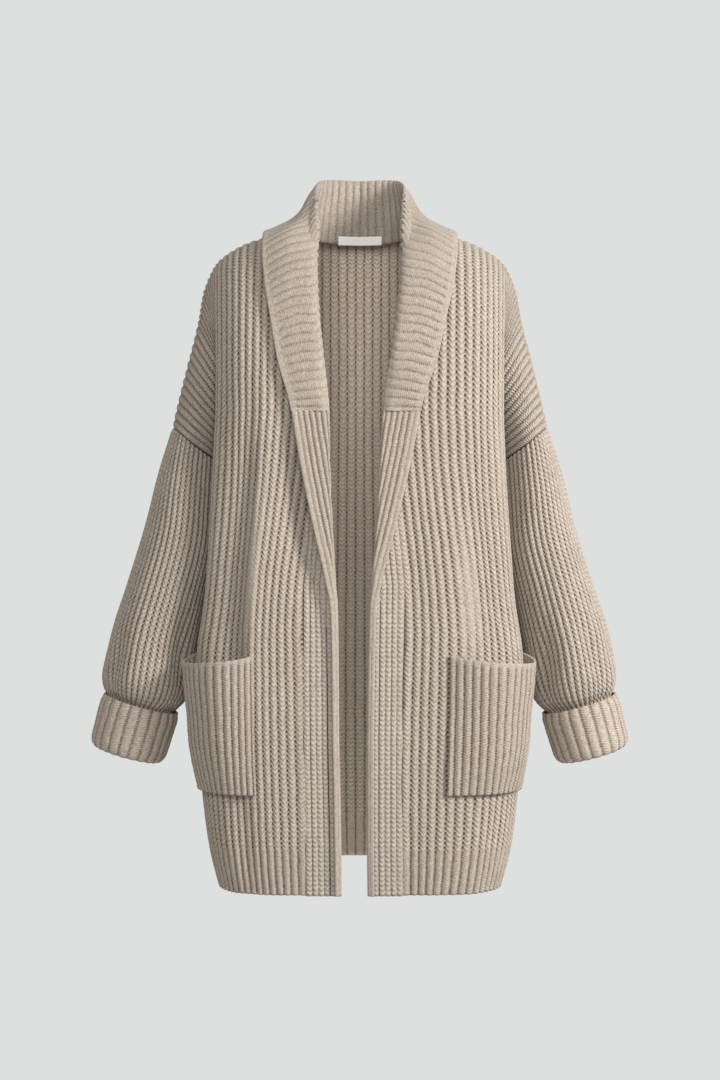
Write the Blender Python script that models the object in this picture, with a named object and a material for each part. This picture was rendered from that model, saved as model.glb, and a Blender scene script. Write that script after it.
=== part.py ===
"""Shawl collar cardigan in a chunky rib, standing hollow in its worn shape.

The frame is metres with +Z up.  The origin is the middle of the neck base, level with
the highest shoulder points.  The fronts face -Y, and the wearer's left side is +X.
Each knitted piece is one wall: its outer face follows a surface worked out from the
tables below, with the ribs raised in it, and its inner face is plain, but the bands and
cuffs, which turn back and show both faces, are ribbed on both.
Every half piece is worked out on the +X side and mirrored to the other side.
"""
import math

import bpy
import numpy as np

# ---------------------------------------------------------------- driving dimensions
HEM_Z = -0.830           # bottom edge of the body
UNDERARM_Z = -0.236      # top of the side seam, level with the ends of the collar
WALL = 0.0045            # full thickness of the knitting at the top of a rib
RELIEF = 0.0020          # how far a rib stands above the groove beside it
SEAM_GAP = 0.0003        # clear space between two sewn edges

CHEST_RIBS = 14          # ribs on a front, from the band seam to the side fold
SIDE_RIBS = 9            # ribs from the side fold to the side seam
BACK_RIBS = 19           # ribs from the centre back to the back side fold
BACK_SIDE_RIBS = 10      # ribs from the back side fold to the side seam
WING_RIBS = 12           # extra ribs of the drop shoulder, over the upper arm
SLEEVE_RIBS = 42
CUFF_RIBS = 30
BAND_RIBS = 6
COLLAR_HALF_RIBS = 37    # ribs across the collar, from the centre back to one end
SLOPE_REACH = 0.2        # ribs to each side over which the collar's slope is taken
BACK_ROUNDING = 0.985    # depth of the back halfway to its fold, as a share of the middle's
FRONT_MIDDLE = 0.75      # how far towards the fold the front stays flat
SIDE_INSET = 0.45        # how much of the fold's width the side keeps beside the arm
FOLD_SHOULDER = (0.86, 0.98, 0.12)   # where each section begins to turn into its fold

BODY_LEVELS = (0.0, 0.10, 0.32, 0.64, 1.0)      # rows from the hem to the underarm
YOKE_LEVELS = (1.22, 1.43, 1.63, 1.82, 2.0)     # and on to the shoulder
SLEEVE_PLACES = (0, 1.3, 2.8, 4.2, 5.3, 6.2, 7, 8)   # rows down the sleeve's table
BAND_LEVELS = (0.0, 0.10, 0.32, 0.52, 0.60, 0.68, 0.76, 0.84, 0.92, 1.0)

# Horizontal sections of the body.  The side folds are the corners of each section,
# and the side of the body is drawn in between them where the sleeves hang.
BODY = (
    # height, fold_x, fold_y, side_x, front_y, back_fold_x, back_fold_y, back_y
    (-0.830, 0.1770, 0.076, 0.1780, 0.132, 0.1720, 0.090, 0.148),
    (-0.790, 0.1870, 0.081, 0.1880, 0.136, 0.1820, 0.095, 0.152),
    (-0.720, 0.1965, 0.085, 0.1980, 0.140, 0.1920, 0.098, 0.155),
    (-0.620, 0.2010, 0.086, 0.2010, 0.141, 0.1970, 0.098, 0.155),
    (-0.540, 0.2000, 0.086, 0.1940, 0.139, 0.1960, 0.096, 0.151),
    (-0.450, 0.1930, 0.085, 0.1760, 0.134, 0.1890, 0.091, 0.145),
    (-0.350, 0.1860, 0.083, 0.1510, 0.127, 0.1810, 0.085, 0.138),
    (-0.236, 0.1815, 0.078, 0.1340, 0.1215, 0.1740, 0.080, 0.128),
)

# The seam between front and band, and how much of the band is turned back above it.
FRONT_EDGE = (
    # height, seam_x, turned_width, band_width
    (-0.830, 0.0590, -0.010, 0.0450),
    (-0.674, 0.0595, -0.010, 0.0450),
    (-0.570, 0.0620, -0.006, 0.0450),
    (-0.490, 0.0640, 0.000, 0.0450),
    (-0.440, 0.0610, 0.010, 0.0450),
    (-0.399, 0.0560, 0.018, 0.0445),
    (-0.348, 0.0490, 0.027, 0.0435),
    (-0.296, 0.0430, 0.0355, 0.0425),
    (-0.236, 0.0385, 0.0405, 0.0415),
)
FOLD_MARGIN = 0.0004     # least spacing of the points beside the fold

# The opening hangs a little to the wearer's right: sideways shift by height, straight
# between the heights of the fronts' rows so that the sewn edges stay together.
LEAN = (
    # height, shift
    (-0.830, 0.0065),
    (-0.640, 0.0083),
    (-0.450, 0.0078),
    (-0.236, 0.0050),
    (-0.100, 0.0025),
    (0.000, 0.0),
)
LEAN_FULL_X = 0.085      # the shift is whole up to here
LEAN_NONE_X = 0.165      # and has faded out here

# The shoulder line, from the highest point of the neck down the top of the arm.
SHOULDER_Y = 0.013
SHOULDER = (
    # x, z
    (0.0850, 0.0140),
    (0.1200, 0.0020),
    (0.1560, -0.0110),
    (0.1885, -0.0350),
    (0.2030, -0.0640),
    (0.2120, -0.1110),
    (0.2250, -0.1625),
    (0.2370, -0.2125),
    (0.2450, -0.2480),
)
SHOULDER_FAN = 0.60      # share of the shoulder line where the side seam's rib ends
FOLD_LEAN = 0.007        # how far the rib on the side fold leans outward on its way up
NECK_X = 0.085           # half the width of the neck opening
NAPE_X = 0.030           # the upper back stays full as far as here
BLADE_X = 0.130          # and slopes to the shoulder line by here

# Back neck curve, from the centre back to the highest neck point.
BACK_NECK = (
    # x, y, z
    (0.0000, 0.0880, 0.0100),
    (0.0450, 0.0790, 0.0110),
    (0.0740, 0.0520, 0.0130),
    (0.0850, 0.0130, 0.0140),
)

# Upper arm: the underarm seam of the wing, and the armhole's depth to front and back.
UNDERARM_END = (0.1660, 0.0, -0.3050)
ARM_FRONT = (0.066, 0.072)
ARM_BACK = (0.070, 0.076)

# Sections of the sleeve, from the drop-shoulder seam to the cuff seam.
SLEEVE = (
    # outer_x, outer_z, inner_x, inner_z, middle_y, front_radius, back_radius, roundness
    (0.2450, -0.2480, 0.1660, -0.3050, 0.000, 0.0720, 0.0760, 0.0),
    (0.2620, -0.3050, 0.1720, -0.3500, -0.001, 0.0735, 0.0780, 0.5),
    (0.2790, -0.3750, 0.1830, -0.4080, -0.003, 0.0750, 0.0790, 1.0),
    (0.3005, -0.4465, 0.1965, -0.4730, -0.007, 0.0760, 0.0790, 1.0),
    (0.3195, -0.5050, 0.2080, -0.5300, -0.012, 0.0760, 0.0780, 1.0),
    (0.3290, -0.5560, 0.2150, -0.5790, -0.020, 0.0720, 0.0740, 1.0),
    (0.3275, -0.5800, 0.2250, -0.6020, -0.026, 0.0600, 0.0610, 1.0),
    (0.3227, -0.5907, 0.2383, -0.6153, -0.030, 0.0450, 0.0450, 1.0),
    (0.3248, -0.6031, 0.2432, -0.6269, -0.030, 0.0440, 0.0440, 1.0),
)

# The turned-back cuff, measured from the middle of its top edge down its own axis.
CUFF_TOP = (0.2805, -0.030, -0.6030)
CUFF_AXIS = (0.280, 0.0, -0.960)
CUFF_HEIGHT = 0.0660
CUFF_SEAM = 0.0128       # where the inner layer joins the sleeve
CUFF_HALF_WIDTH = (0.0500, 0.0445)
CUFF_HALF_DEPTH = (0.0520, 0.0465)
CUFF_LAYERS = 0.0105     # between the faces of the two layers

# Collar: the roll and the leaf's edge at stations from the centre back to the front.
ROLL_RADIUS = 0.0055
COLLAR = (
    # seam_share, roll_x, roll_y, roll_z, edge_x, edge_y, edge_z, ease
    (0.000, 0.0000, 0.1030, 0.0960, 0.0000, 0.1150, -0.0120, 0.004),
    (0.115, 0.0400, 0.0930, 0.0950, 0.0620, 0.1040, -0.0130, 0.006),
    (0.225, 0.0545, 0.0620, 0.0840, 0.1060, 0.0720, -0.0110, 0.008),
    (0.335, 0.0550, 0.0200, 0.0590, 0.1240, 0.0130, 0.0080, 0.002),
    (0.395, 0.0545, -0.0020, 0.0390, 0.1240, -0.0150, -0.0060, 0.002),
    (0.460, 0.0535, -0.0260, 0.0180, 0.1225, -0.0440, -0.0270, 0.002),
)
# The same on the front: these lie on the chest, so only x and z are given.
COLLAR_FRONT = (
    # seam_share, roll_x, roll_z, edge_x, edge_z, ease
    (0.580, 0.0520, -0.0400, 0.1185, -0.0710, 0.004),
    (0.700, 0.0485, -0.0950, 0.1095, -0.1180, 0.002),
    (0.840, 0.0410, -0.1590, 0.0950, -0.1760, 0.001),
    (0.945, 0.0335, -0.2100, 0.0785, -0.2185, 0.001),
)
LEAF_LIFT = 0.0070       # the leaf's outer face above the front that it lies on

# Patch pockets, in ribs from the band seam and heights.
POCKET_TOP = -0.535
POCKET_BOTTOM = -0.706
POCKET_EDGES = {1: (4.5, 20.5), -1: (5.5, 21.0)}
POCKET_CLEAR = 0.0007    # between the sewn edges of a pocket and its front
POCKET_GAPE = 0.0200     # how far the mouth stands off the front
POCKET_BAG = 0.0120      # how far the middle of the pocket stands off it
POCKET_SIDE_FLAT = 0.75  # share of that lost round the side of the body
POCKET_DIP = 0.0120      # how far the mouth's edge sinks in its middle
POCKET_ROWS = 4

LABEL_HALF_WIDTH = 0.029
LABEL_TOP = 0.0135
LABEL_BOTTOM = 0.0015
LABEL_THICKNESS = 0.0008

# name: (colour, roughness)
YARNS = {
    "body": ((0.462, 0.376, 0.296), 0.92),
    "sleeve": ((0.440, 0.356, 0.280), 0.92),
    "trim": ((0.500, 0.412, 0.328), 0.90),
    "label": ((0.860, 0.850, 0.820), 0.70),
}


# ---------------------------------------------------------------- curves and tables
def smooth(knots, values, at):
    """Smooth curve through the table's values, at the given places."""
    knots = np.asarray(knots, float)
    values = np.asarray(values, float)
    at = np.clip(np.asarray(at, float), knots[0], knots[-1])
    slopes = np.gradient(values, knots, axis=0)
    index = np.clip(np.searchsorted(knots, at, side="right") - 1, 0, len(knots) - 2)
    span = knots[index + 1] - knots[index]
    t = (at - knots[index]) / span
    if values.ndim > 1:
        t = t[..., None]
        span = span[..., None]
    start = (1 + 2 * t) * (1 - t) ** 2 * values[index]
    end = t * t * (3 - 2 * t) * values[index + 1]
    leave = t * (1 - t) ** 2 * span * slopes[index]
    arrive = t * t * (t - 1) * span * slopes[index + 1]
    return start + end + leave + arrive


def table_at(table, height):
    """One row of a table, read smoothly at a height."""
    table = np.array(table, float)
    return smooth(table[:, 0], table[:, 1:], height)


def lengths_along(points):
    steps = np.linalg.norm(np.diff(points, axis=0), axis=1)
    return np.concatenate(([0.0], np.cumsum(steps)))


def dense_path(points, per_span=24):
    """A smooth path through a few points, as many close points."""
    points = np.array(points, float)
    knots = lengths_along(points)
    at = np.concatenate([np.linspace(knots[i], knots[i + 1], per_span, endpoint=False)
                         for i in range(len(knots) - 1)] + [knots[-1:]])
    return smooth(knots, points, at)


def along(path, distance):
    """Points at the given distances along a dense path."""
    measured = lengths_along(path)
    return np.stack([np.interp(distance, measured, path[:, k])
                     for k in range(path.shape[1])], axis=-1)


def ease(t):
    t = np.clip(t, 0.0, 1.0)
    return t * t * (3 - 2 * t)


def unit(vectors):
    length = np.linalg.norm(vectors, axis=-1, keepdims=True)
    return vectors / np.maximum(length, 1e-9)


# ---------------------------------------------------------------- the body's surface
def half_section(height, back):
    """Points round one half of the body, from the middle to the side seam.

    Returns a dense path and the distance along it to the side fold.
    """
    (fold_x, fold_y, side_x, front_y, back_fold_x, back_fold_y, back_y) = table_at(BODY, height)
    if back:
        corner = np.array((back_fold_x, back_fold_y))
        points = [(0.0, back_y), (0.5 * back_fold_x, BACK_ROUNDING * back_y)]
    else:
        edge_x = table_at(FRONT_EDGE, height)[0]
        corner = np.array((fold_x, -fold_y))
        middle_x = 0.5 * (edge_x + FRONT_MIDDLE * fold_x)
        points = [(edge_x, -front_y), (middle_x, -front_y)]
    inset = (side_x + SIDE_INSET * (corner[0] - side_x), 0.5 * corner[1])
    wide, deep, more = FOLD_SHOULDER
    shoulder_of_fold = (wide * corner[0], 0.5 * (corner[1] + points[1][1] * deep) + more * points[1][1])
    points += [shoulder_of_fold, tuple(corner), inset, (side_x, 0.0)]
    path = dense_path(points)
    fold_at = lengths_along(path)[24 * 3]
    return path, fold_at


def section_points(ribs, height, back):
    """Points of a horizontal section at the given rib counts from its middle."""
    path, fold_at = half_section(height, back)
    whole = lengths_along(path)[-1]
    before, after = (BACK_RIBS, BACK_SIDE_RIBS) if back else (CHEST_RIBS, SIDE_RIBS)
    distance = np.where(ribs <= before, ribs / before * fold_at,
                        fold_at + (ribs - before) / after * (whole - fold_at))
    flat = along(path, distance)
    return np.column_stack((flat, np.full(len(flat), height)))


SHOULDER_PATH = dense_path(SHOULDER)
SHOULDER_LENGTH = lengths_along(SHOULDER_PATH)[-1]
NECK_PATH = dense_path(BACK_NECK)


def shoulder_points(distance):
    flat = along(SHOULDER_PATH, distance)
    return np.column_stack((flat[:, 0], np.full(len(flat), SHOULDER_Y), flat[:, 1]))


def top_points(across, back):
    """Where the ribs that start at the given x reach the shoulder or the neck."""
    distance = np.interp(across, SHOULDER_PATH[:, 0], lengths_along(SHOULDER_PATH))
    top = shoulder_points(distance)
    inside = across < NECK_X
    if back:
        neck = np.stack([np.interp(across, NECK_PATH[:, 0], NECK_PATH[:, k])
                         for k in range(3)], axis=-1)
        top = np.where(inside[:, None], neck, top)
    else:
        top[inside, 0] = across[inside]
    return top


def chest_points(ribs, share, back):
    """Upper body between the middle and the side fold: each rib is a quarter oval."""
    before = BACK_RIBS if back else CHEST_RIBS
    start = section_points(ribs, UNDERARM_Z, back)
    top = top_points(start[:, 0] + FOLD_LEAN * (ribs / before) ** 2, back)
    turn = share * math.pi / 2
    rise = math.sin(turn)
    forward = math.cos(turn) ** 0.9
    x = start[:, 0] + (top[:, 0] - start[:, 0]) * rise ** 2
    crown = top[:, 1]
    if back:
        slope = ease((top[:, 0] - NAPE_X) / (BLADE_X - NAPE_X))
        crown = BACK_NECK[0][1] + (SHOULDER_Y - BACK_NECK[0][1]) * slope
    y = crown + (start[:, 1] - crown) * forward + (top[:, 1] - crown) * share ** 6
    z = start[:, 2] + (top[:, 2] - start[:, 2]) * rise
    return np.column_stack((x, y, z))


def wing_points(reach, share, back):
    """The drop shoulder over the upper arm: reach 0 at the armpit, 1 at the sleeve."""
    side_x = table_at(BODY, UNDERARM_Z)[2]
    armpit = np.array((side_x, 0.0, UNDERARM_Z))
    inner = armpit + reach[:, None] * (np.array(UNDERARM_END) - armpit)
    outer = shoulder_points(SHOULDER_LENGTH * (SHOULDER_FAN + (1 - SHOULDER_FAN) * reach))
    near, far = ARM_BACK if back else ARM_FRONT
    depth = near + (far - near) * reach
    across = math.sin(share * math.pi / 2) ** 1.1
    points = inner + (outer - inner) * across
    sign = 1.0 if back else -1.0
    points[:, 1] += sign * depth * math.sin(math.pi * share)
    return points


def side_points(part, share, back):
    """Between the side fold (part 0) and the armpit's rib (part 1)."""
    before, after = (BACK_RIBS, BACK_SIDE_RIBS) if back else (CHEST_RIBS, SIDE_RIBS)
    fold_rib = np.array([float(before)])
    armpit_rib = np.array([0.0])
    part = part[:, None]

    def between(first, last):
        return first + part * (last - first)

    points = between(chest_points(fold_rib, share, back), wing_points(armpit_rib, share, back))
    wall = section_points(before + after * part[:, 0], UNDERARM_Z, back)
    wall_chord = between(chest_points(fold_rib, 0.0, back), wing_points(armpit_rib, 0.0, back))
    fold_top = chest_points(fold_rib, 1.0, back)
    fold_distance = np.interp(fold_top[0, 0], SHOULDER_PATH[:, 0], lengths_along(SHOULDER_PATH))
    reach = SHOULDER_FAN * SHOULDER_LENGTH
    ends = shoulder_points(fold_distance + part[:, 0] * (reach - fold_distance))
    top_chord = between(fold_top, wing_points(armpit_rib, 1.0, back))
    return points + (wall - wall_chord) * (1 - share) ** 3 + (ends - top_chord) * share ** 3


def panel_points(ribs, level, back):
    """A front or half back at rib counts from its middle, at one level.

    Level 0 is the hem, 1 the underarm and 2 the shoulder.
    """
    ribs = np.asarray(ribs, float)
    if level < 1.0:
        height = HEM_Z + (UNDERARM_Z - HEM_Z) * level
        return section_points(ribs, height, back)
    share = level - 1.0
    before, after = (BACK_RIBS, BACK_SIDE_RIBS) if back else (CHEST_RIBS, SIDE_RIBS)
    points = np.zeros((len(ribs), 3))
    chest = ribs <= before
    wing = ribs >= before + after
    side = ~chest & ~wing
    if chest.any():
        points[chest] = chest_points(ribs[chest], share, back)
    if side.any():
        points[side] = side_points((ribs[side] - before) / after, share, back)
    if wing.any():
        points[wing] = wing_points((ribs[wing] - before - after) / WING_RIBS, share, back)
    return points


def neck_start(level):
    """Rib count where the neckline cuts a front, at a level."""
    if level <= 1.0:
        return 0.0
    share = level - 1.0
    edge_x = table_at(FRONT_EDGE, UNDERARM_Z)[0]
    cut_x = edge_x + (NECK_X - edge_x) * (0.72 * share + 0.28 * math.sin(share * math.pi / 2))
    ribs = np.linspace(0.0, CHEST_RIBS, 113)
    across = chest_points(ribs, share, False)[:, 0]
    return float(np.interp(cut_x, across, ribs))


# ---------------------------------------------------------------- walls
def rib_groove(ribs):
    """1 in the groove between two ribs, 0 on the top of a rib."""
    return np.abs(2 * (ribs - np.floor(ribs)) - 1)


def grid_normals(surface, columns, level, low, high, levels=(0.0, 2.0)):
    """Normals of surface(columns, level), pointing to the face that has the ribs."""
    step, rise = 0.06, 0.006
    across = (surface(np.clip(columns + step, low, high), level)
              - surface(np.clip(columns - step, low, high), level))
    up = (surface(columns, min(level + rise, levels[1]))
          - surface(columns, max(level - rise, levels[0])))
    return unit(np.cross(across, up))


def zip_faces(lower, lower_keys, upper, upper_keys):
    """Faces between two rows of points whose places along the row differ."""
    faces = []
    i = j = 0
    while i < len(lower) - 1 or j < len(upper) - 1:
        next_low = lower_keys[i + 1] if i < len(lower) - 1 else math.inf
        next_up = upper_keys[j + 1] if j < len(upper) - 1 else math.inf
        if abs(next_low - next_up) < 1e-6:
            faces.append((lower[i], lower[i + 1], upper[j + 1], upper[j]))
            i += 1
            j += 1
        elif next_low < next_up:
            faces.append((lower[i], lower[i + 1], upper[j]))
            i += 1
        else:
            faces.append((lower[i], upper[j + 1], upper[j]))
            j += 1
    return faces


class Wall:
    """A closed wall between an outer and an inner face, built row by row."""

    def __init__(self):
        self.points = []
        self.faces = []
        self.rows = []

    def add_points(self, points):
        first = len(self.points)
        self.points.extend(map(tuple, points))
        return list(range(first, first + len(points)))

    def add_row(self, outer_keys, outer, inner_keys, inner):
        self.rows.append((list(outer_keys), self.add_points(outer),
                          list(inner_keys), self.add_points(inner)))

    def part_of(self, row, low, high):
        """The stretch of a row between two keys."""
        outer_keys, outer, inner_keys, inner = self.rows[row]
        keep = [k for k, key in enumerate(outer_keys) if low - 1e-6 <= key <= high + 1e-6]
        keep_in = [k for k, key in enumerate(inner_keys) if low - 1e-6 <= key <= high + 1e-6]
        return ([outer_keys[k] for k in keep], [outer[k] for k in keep],
                [inner_keys[k] for k in keep_in], [inner[k] for k in keep_in])

    def strip(self, lower, upper):
        self.faces += zip_faces(lower[1], lower[0], upper[1], upper[0])
        flipped = zip_faces(lower[3], lower[2], upper[3], upper[2])
        self.faces += [face[::-1] for face in flipped]

    def side_edge(self, lower, upper, at_start):
        end = 0 if at_start else -1
        face = (lower[1][end], upper[1][end], upper[3][end], lower[3][end])
        self.faces.append(face if at_start else face[::-1])

    def rim(self, row, at_bottom):
        faces = zip_faces(row[3], row[2], row[1], row[0])
        self.faces += faces if at_bottom else [face[::-1] for face in faces]

    def join_ends(self):
        """Make a tube: the last point of each row is its first."""
        merged = {}
        for outer_keys, outer, inner_keys, inner in self.rows:
            merged[outer[-1]] = outer[0]
            merged[inner[-1]] = inner[0]
        self.faces = [tuple(merged.get(p, p) for p in face) for face in self.faces]

    def object(self, name, yarn, side, collection):
        points = np.array(self.points)
        points[:, 0] *= side
        points = lean(points)
        used = sorted({p for face in self.faces for p in face})
        place = {p: k for k, p in enumerate(used)}
        faces = [tuple(place[p] for p in face) for face in self.faces]
        if side < 0:
            faces = [face[::-1] for face in faces]
        mesh = bpy.data.meshes.new(name)
        mesh.from_pydata([tuple(points[p]) for p in used], [], faces)
        mesh.validate()
        piece = bpy.data.objects.new(name, mesh)
        collection.objects.link(piece)
        mesh.materials.append(knit_material(name, yarn))
        mesh.shade_smooth()
        mesh.set_sharp_from_angle(angle=math.radians(50))
        return piece


def lean(points):
    """Shift the middle of the fronts sideways, as the open edges hang."""
    across = np.abs(points[:, 0])
    fade = 1 - ease((across - LEAN_FULL_X) / (LEAN_NONE_X - LEAN_FULL_X))
    in_front = ease((0.04 - points[:, 1]) / 0.08)
    shifted = points.copy()
    heights, shifts = np.array(LEAN).T
    shifted[:, 0] -= np.interp(points[:, 2], heights, shifts) * fade * in_front
    return shifted


def knit_material(name, yarn):
    colour, roughness = YARNS[yarn]
    material = bpy.data.materials.new(name + "_" + yarn)
    material.use_nodes = True
    shader = material.node_tree.nodes["Principled BSDF"]
    shader.inputs["Base Color"].default_value = (*colour, 1.0)
    shader.inputs["Roughness"].default_value = roughness
    shader.inputs["Metallic"].default_value = 0.0
    return material


def columns_between(low, high, step):
    """Regular columns between two ends, with both ends in."""
    first = math.floor(low / step + 1e-6) + 1
    last = math.ceil(high / step - 1e-6) - 1
    return np.array([low] + [k * step for k in range(first, last + 1)] + [high])


# ---------------------------------------------------------------- fronts and back
PANEL_LEVELS = BODY_LEVELS + YOKE_LEVELS
BODY_ROWS = len(BODY_LEVELS) - 1


def panel_row_points(columns, level, back):
    """Outer face and inner face of a panel's row, with its seams' own directions."""
    before, after = (BACK_RIBS, BACK_SIDE_RIBS) if back else (CHEST_RIBS, SIDE_RIBS)
    seam = before + after
    full = seam + WING_RIBS

    def surface(ribs, at):
        return panel_points(ribs, at, back)

    low = 0.0 if back else neck_start(level)
    high = seam if level < 1.0 else full
    crest = surface(columns, level)
    normals = grid_normals(surface, columns, level, low, high)
    if back:
        normals = -normals
    wing = columns > seam + 1e-6
    if level <= 1.0 + 1e-6 and wing.any():
        above = grid_normals(surface, columns[wing], level, seam, full, (1.0, 2.0))
        normals[wing] = -above if back else above
    if level <= 1.0 + 1e-6:
        on_seam = columns >= seam - 1e-6
        normals[on_seam, 1] = 0.0
    if level == 1.0:
        normals[np.abs(columns - seam) < 1e-6] = (0.0, 0.0, -1.0)
    if level >= 2.0 - 1e-6:
        beyond_neck = crest[:, 0] >= NECK_X - 1e-4
        normals[beyond_neck, 1] = 0.0
    if level >= 1.0:
        last = np.abs(columns - full) < 1e-6
        arm = unit(np.array(UNDERARM_END) - shoulder_points(np.array([SHOULDER_LENGTH]))[0])
        across_loop = unit(np.cross(arm, (0.0, 1.0, 0.0)))
        normals[last] -= (normals[last] @ across_loop)[:, None] * across_loop
    normals = unit(normals)
    seam_side = 1.0 if back else -1.0
    outer = crest - normals * (RELIEF * rib_groove(columns))[:, None]
    inner = crest - normals * WALL
    on_join = columns >= seam - 1e-6 if level <= 1.0 else np.zeros(len(columns), bool)
    if level >= 2.0 - 1e-6:
        on_join = crest[:, 0] >= NECK_X - 1e-4
    for face in (outer, inner):
        face[on_join, 1] = (SHOULDER_Y if level > 1.5 else 0.0) + seam_side * SEAM_GAP / 2
    return outer, inner


def panel_columns(level, back, step):
    before, after = (BACK_RIBS, BACK_SIDE_RIBS) if back else (CHEST_RIBS, SIDE_RIBS)
    seam = before + after
    low = 0.0 if back else neck_start(level)
    if level < 1.0:
        return columns_between(low, seam, step)
    upper = columns_between(seam, seam + WING_RIBS, step)
    return np.concatenate((columns_between(low, seam, step), upper[1:]))


def make_front(side, collection):
    """One front: hem to shoulder, with the wing over the arm from the underarm up."""
    wall = Wall()
    seam = CHEST_RIBS + SIDE_RIBS
    full = seam + WING_RIBS
    for level in PANEL_LEVELS:
        outer_columns = panel_columns(level, False, 0.5)
        inner_columns = panel_columns(level, False, 2.0)
        outer, _ = panel_row_points(outer_columns, level, False)
        _, inner = panel_row_points(inner_columns, level, False)
        wall.add_row(outer_columns, outer, inner_columns, inner)
    last = len(wall.rows) - 1
    for row in range(last):
        high = seam if row < BODY_ROWS else full
        lower = wall.part_of(row, 0, high)
        upper = wall.part_of(row + 1, 0, high)
        wall.strip(lower, upper)
        wall.side_edge(lower, upper, True)
        wall.side_edge(lower, upper, False)
    wall.rim(wall.part_of(0, 0, seam), True)
    wall.rim(wall.part_of(BODY_ROWS, seam, full), True)
    wall.rim(wall.part_of(last, 0, full), False)
    name = "front_left" if side > 0 else "front_right"
    return wall.object(name, "body", side, collection)


def make_back(collection):
    """The back, both halves in one wall, with a wing at each side."""
    wall = Wall()
    seam = BACK_RIBS + BACK_SIDE_RIBS
    full = seam + WING_RIBS
    for level in PANEL_LEVELS:
        row = []
        for step, face in ((0.5, 0), (2.0 if level < 2.0 else 0.5, 1)):
            half = panel_columns(level, True, step)
            points = panel_row_points(half, level, True)[face]
            mirrored = points[1:] * np.array((-1.0, 1.0, 1.0))
            columns = np.concatenate((-half[::-1], half[1:]))
            row += [columns, np.concatenate((points[::-1], mirrored))]
        wall.add_row(*row)
    last = len(wall.rows) - 1
    for row in range(last):
        high = seam if row < BODY_ROWS else full
        lower = wall.part_of(row, -high, high)
        upper = wall.part_of(row + 1, -high, high)
        wall.strip(lower, upper)
        wall.side_edge(lower, upper, True)
        wall.side_edge(lower, upper, False)
    wall.rim(wall.part_of(0, -seam, seam), True)
    wall.rim(wall.part_of(BODY_ROWS, seam, full), True)
    wall.rim(wall.part_of(BODY_ROWS, -full, -seam), True)
    wall.rim(wall.part_of(last, -full, full), False)
    return wall.object("back", "body", 1, collection)


# ---------------------------------------------------------------- sleeves and cuffs
def sleeve_points(ribs, place):
    """The sleeve at rib counts round it from the underarm, front first."""
    table = np.array(SLEEVE, float)
    (outer_x, outer_z, inner_x, inner_z, middle_y, front, back, roundness) = smooth(
        np.arange(len(table)), table, place)
    share = np.linspace(0.0, 1.0, 61)
    flat = np.sin(share * math.pi / 2) ** 1.1
    round_ = (1 - np.cos(math.pi * share)) / 2
    across = flat + (round_ - flat) * roundness
    swing = np.sin(math.pi * share)
    top_y = SHOULDER_Y * (1 - ease(place / 2.0))
    centre_y = middle_y + top_y * across
    front_half = np.column_stack((inner_x + (outer_x - inner_x) * across, centre_y - front * swing,
                                  inner_z + (outer_z - inner_z) * across))
    back_half = np.column_stack((front_half[:, 0], centre_y + back * swing, front_half[:, 2]))
    half = SLEEVE_RIBS / 2
    front_length = lengths_along(front_half)[-1]
    back_length = lengths_along(back_half)[-1]
    ribs = np.asarray(ribs, float)
    in_front = ribs <= half
    points = along(back_half, (SLEEVE_RIBS - ribs) / half * back_length)
    points[in_front] = along(front_half, ribs[in_front] / half * front_length)
    return points


def tube_row(surface, ribs, place, places, total):
    """Outer and inner points of a closed row round a tube."""
    step, rise = 0.06, 0.01
    across = surface((ribs + step) % total, place) - surface((ribs - step) % total, place)
    up = surface(ribs, min(place + rise, places)) - surface(ribs, max(place - rise, 0.0))
    return unit(np.cross(across, up))


def make_sleeve(side, collection):
    """A rib tube from the drop-shoulder seam to the cuff seam."""
    wall = Wall()
    last_place = SLEEVE_PLACES[-1]
    plane = unit(np.cross(np.array(UNDERARM_END) - shoulder_points(
        np.array([SHOULDER_LENGTH]))[0], (0.0, 1.0, 0.0)))
    down = plane if plane[2] < 0 else -plane
    cuff_axis = unit(np.array(CUFF_AXIS))
    for place in SLEEVE_PLACES[::-1]:
        row = []
        for step, relief in ((0.5, True), (2.0, False)):
            ribs = columns_between(0.0, SLEEVE_RIBS, step)
            points = sleeve_points(ribs, place)
            normals = tube_row(sleeve_points, ribs, place, last_place, SLEEVE_RIBS)
            normals = -normals
            for end, axis in ((0, down), (last_place, cuff_axis)):
                if place == end:
                    normals -= (normals @ axis)[:, None] * axis
            normals = unit(normals)
            if place == 0:
                points = points + down * SEAM_GAP
            depth = RELIEF * rib_groove(ribs) if relief else np.full(len(ribs), WALL)
            row += [ribs, points - normals * depth[:, None]]
        wall.add_row(*row)
    last = len(wall.rows) - 1
    for row in range(last):
        wall.strip(wall.rows[row], wall.rows[row + 1])
    wall.rim(wall.rows[0], True)
    wall.rim(wall.rows[last], False)
    wall.join_ends()
    name = "sleeve_left" if side > 0 else "sleeve_right"
    return wall.object(name, "sleeve", side, collection)


def cuff_profile():
    """Down the inside of the inner layer, round the fold, up the outside.

    Each point is (distance down the axis, inset from the outer face, face direction
    down the axis, face direction outwards, rib step of the outer face).
    """
    radius = CUFF_LAYERS / 2
    bottom = CUFF_HEIGHT - radius
    return ((CUFF_SEAM, CUFF_LAYERS, 0.0, -1.0, 1.0),
            (bottom, CUFF_LAYERS, 0.0, -1.0, 1.0),
            (CUFF_HEIGHT, radius, 1.0, 0.0, 1.0),
            (bottom, 0.0, 0.0, 1.0, 0.5),
            (0.0, 0.0, 0.0, 1.0, 0.5))


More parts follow.
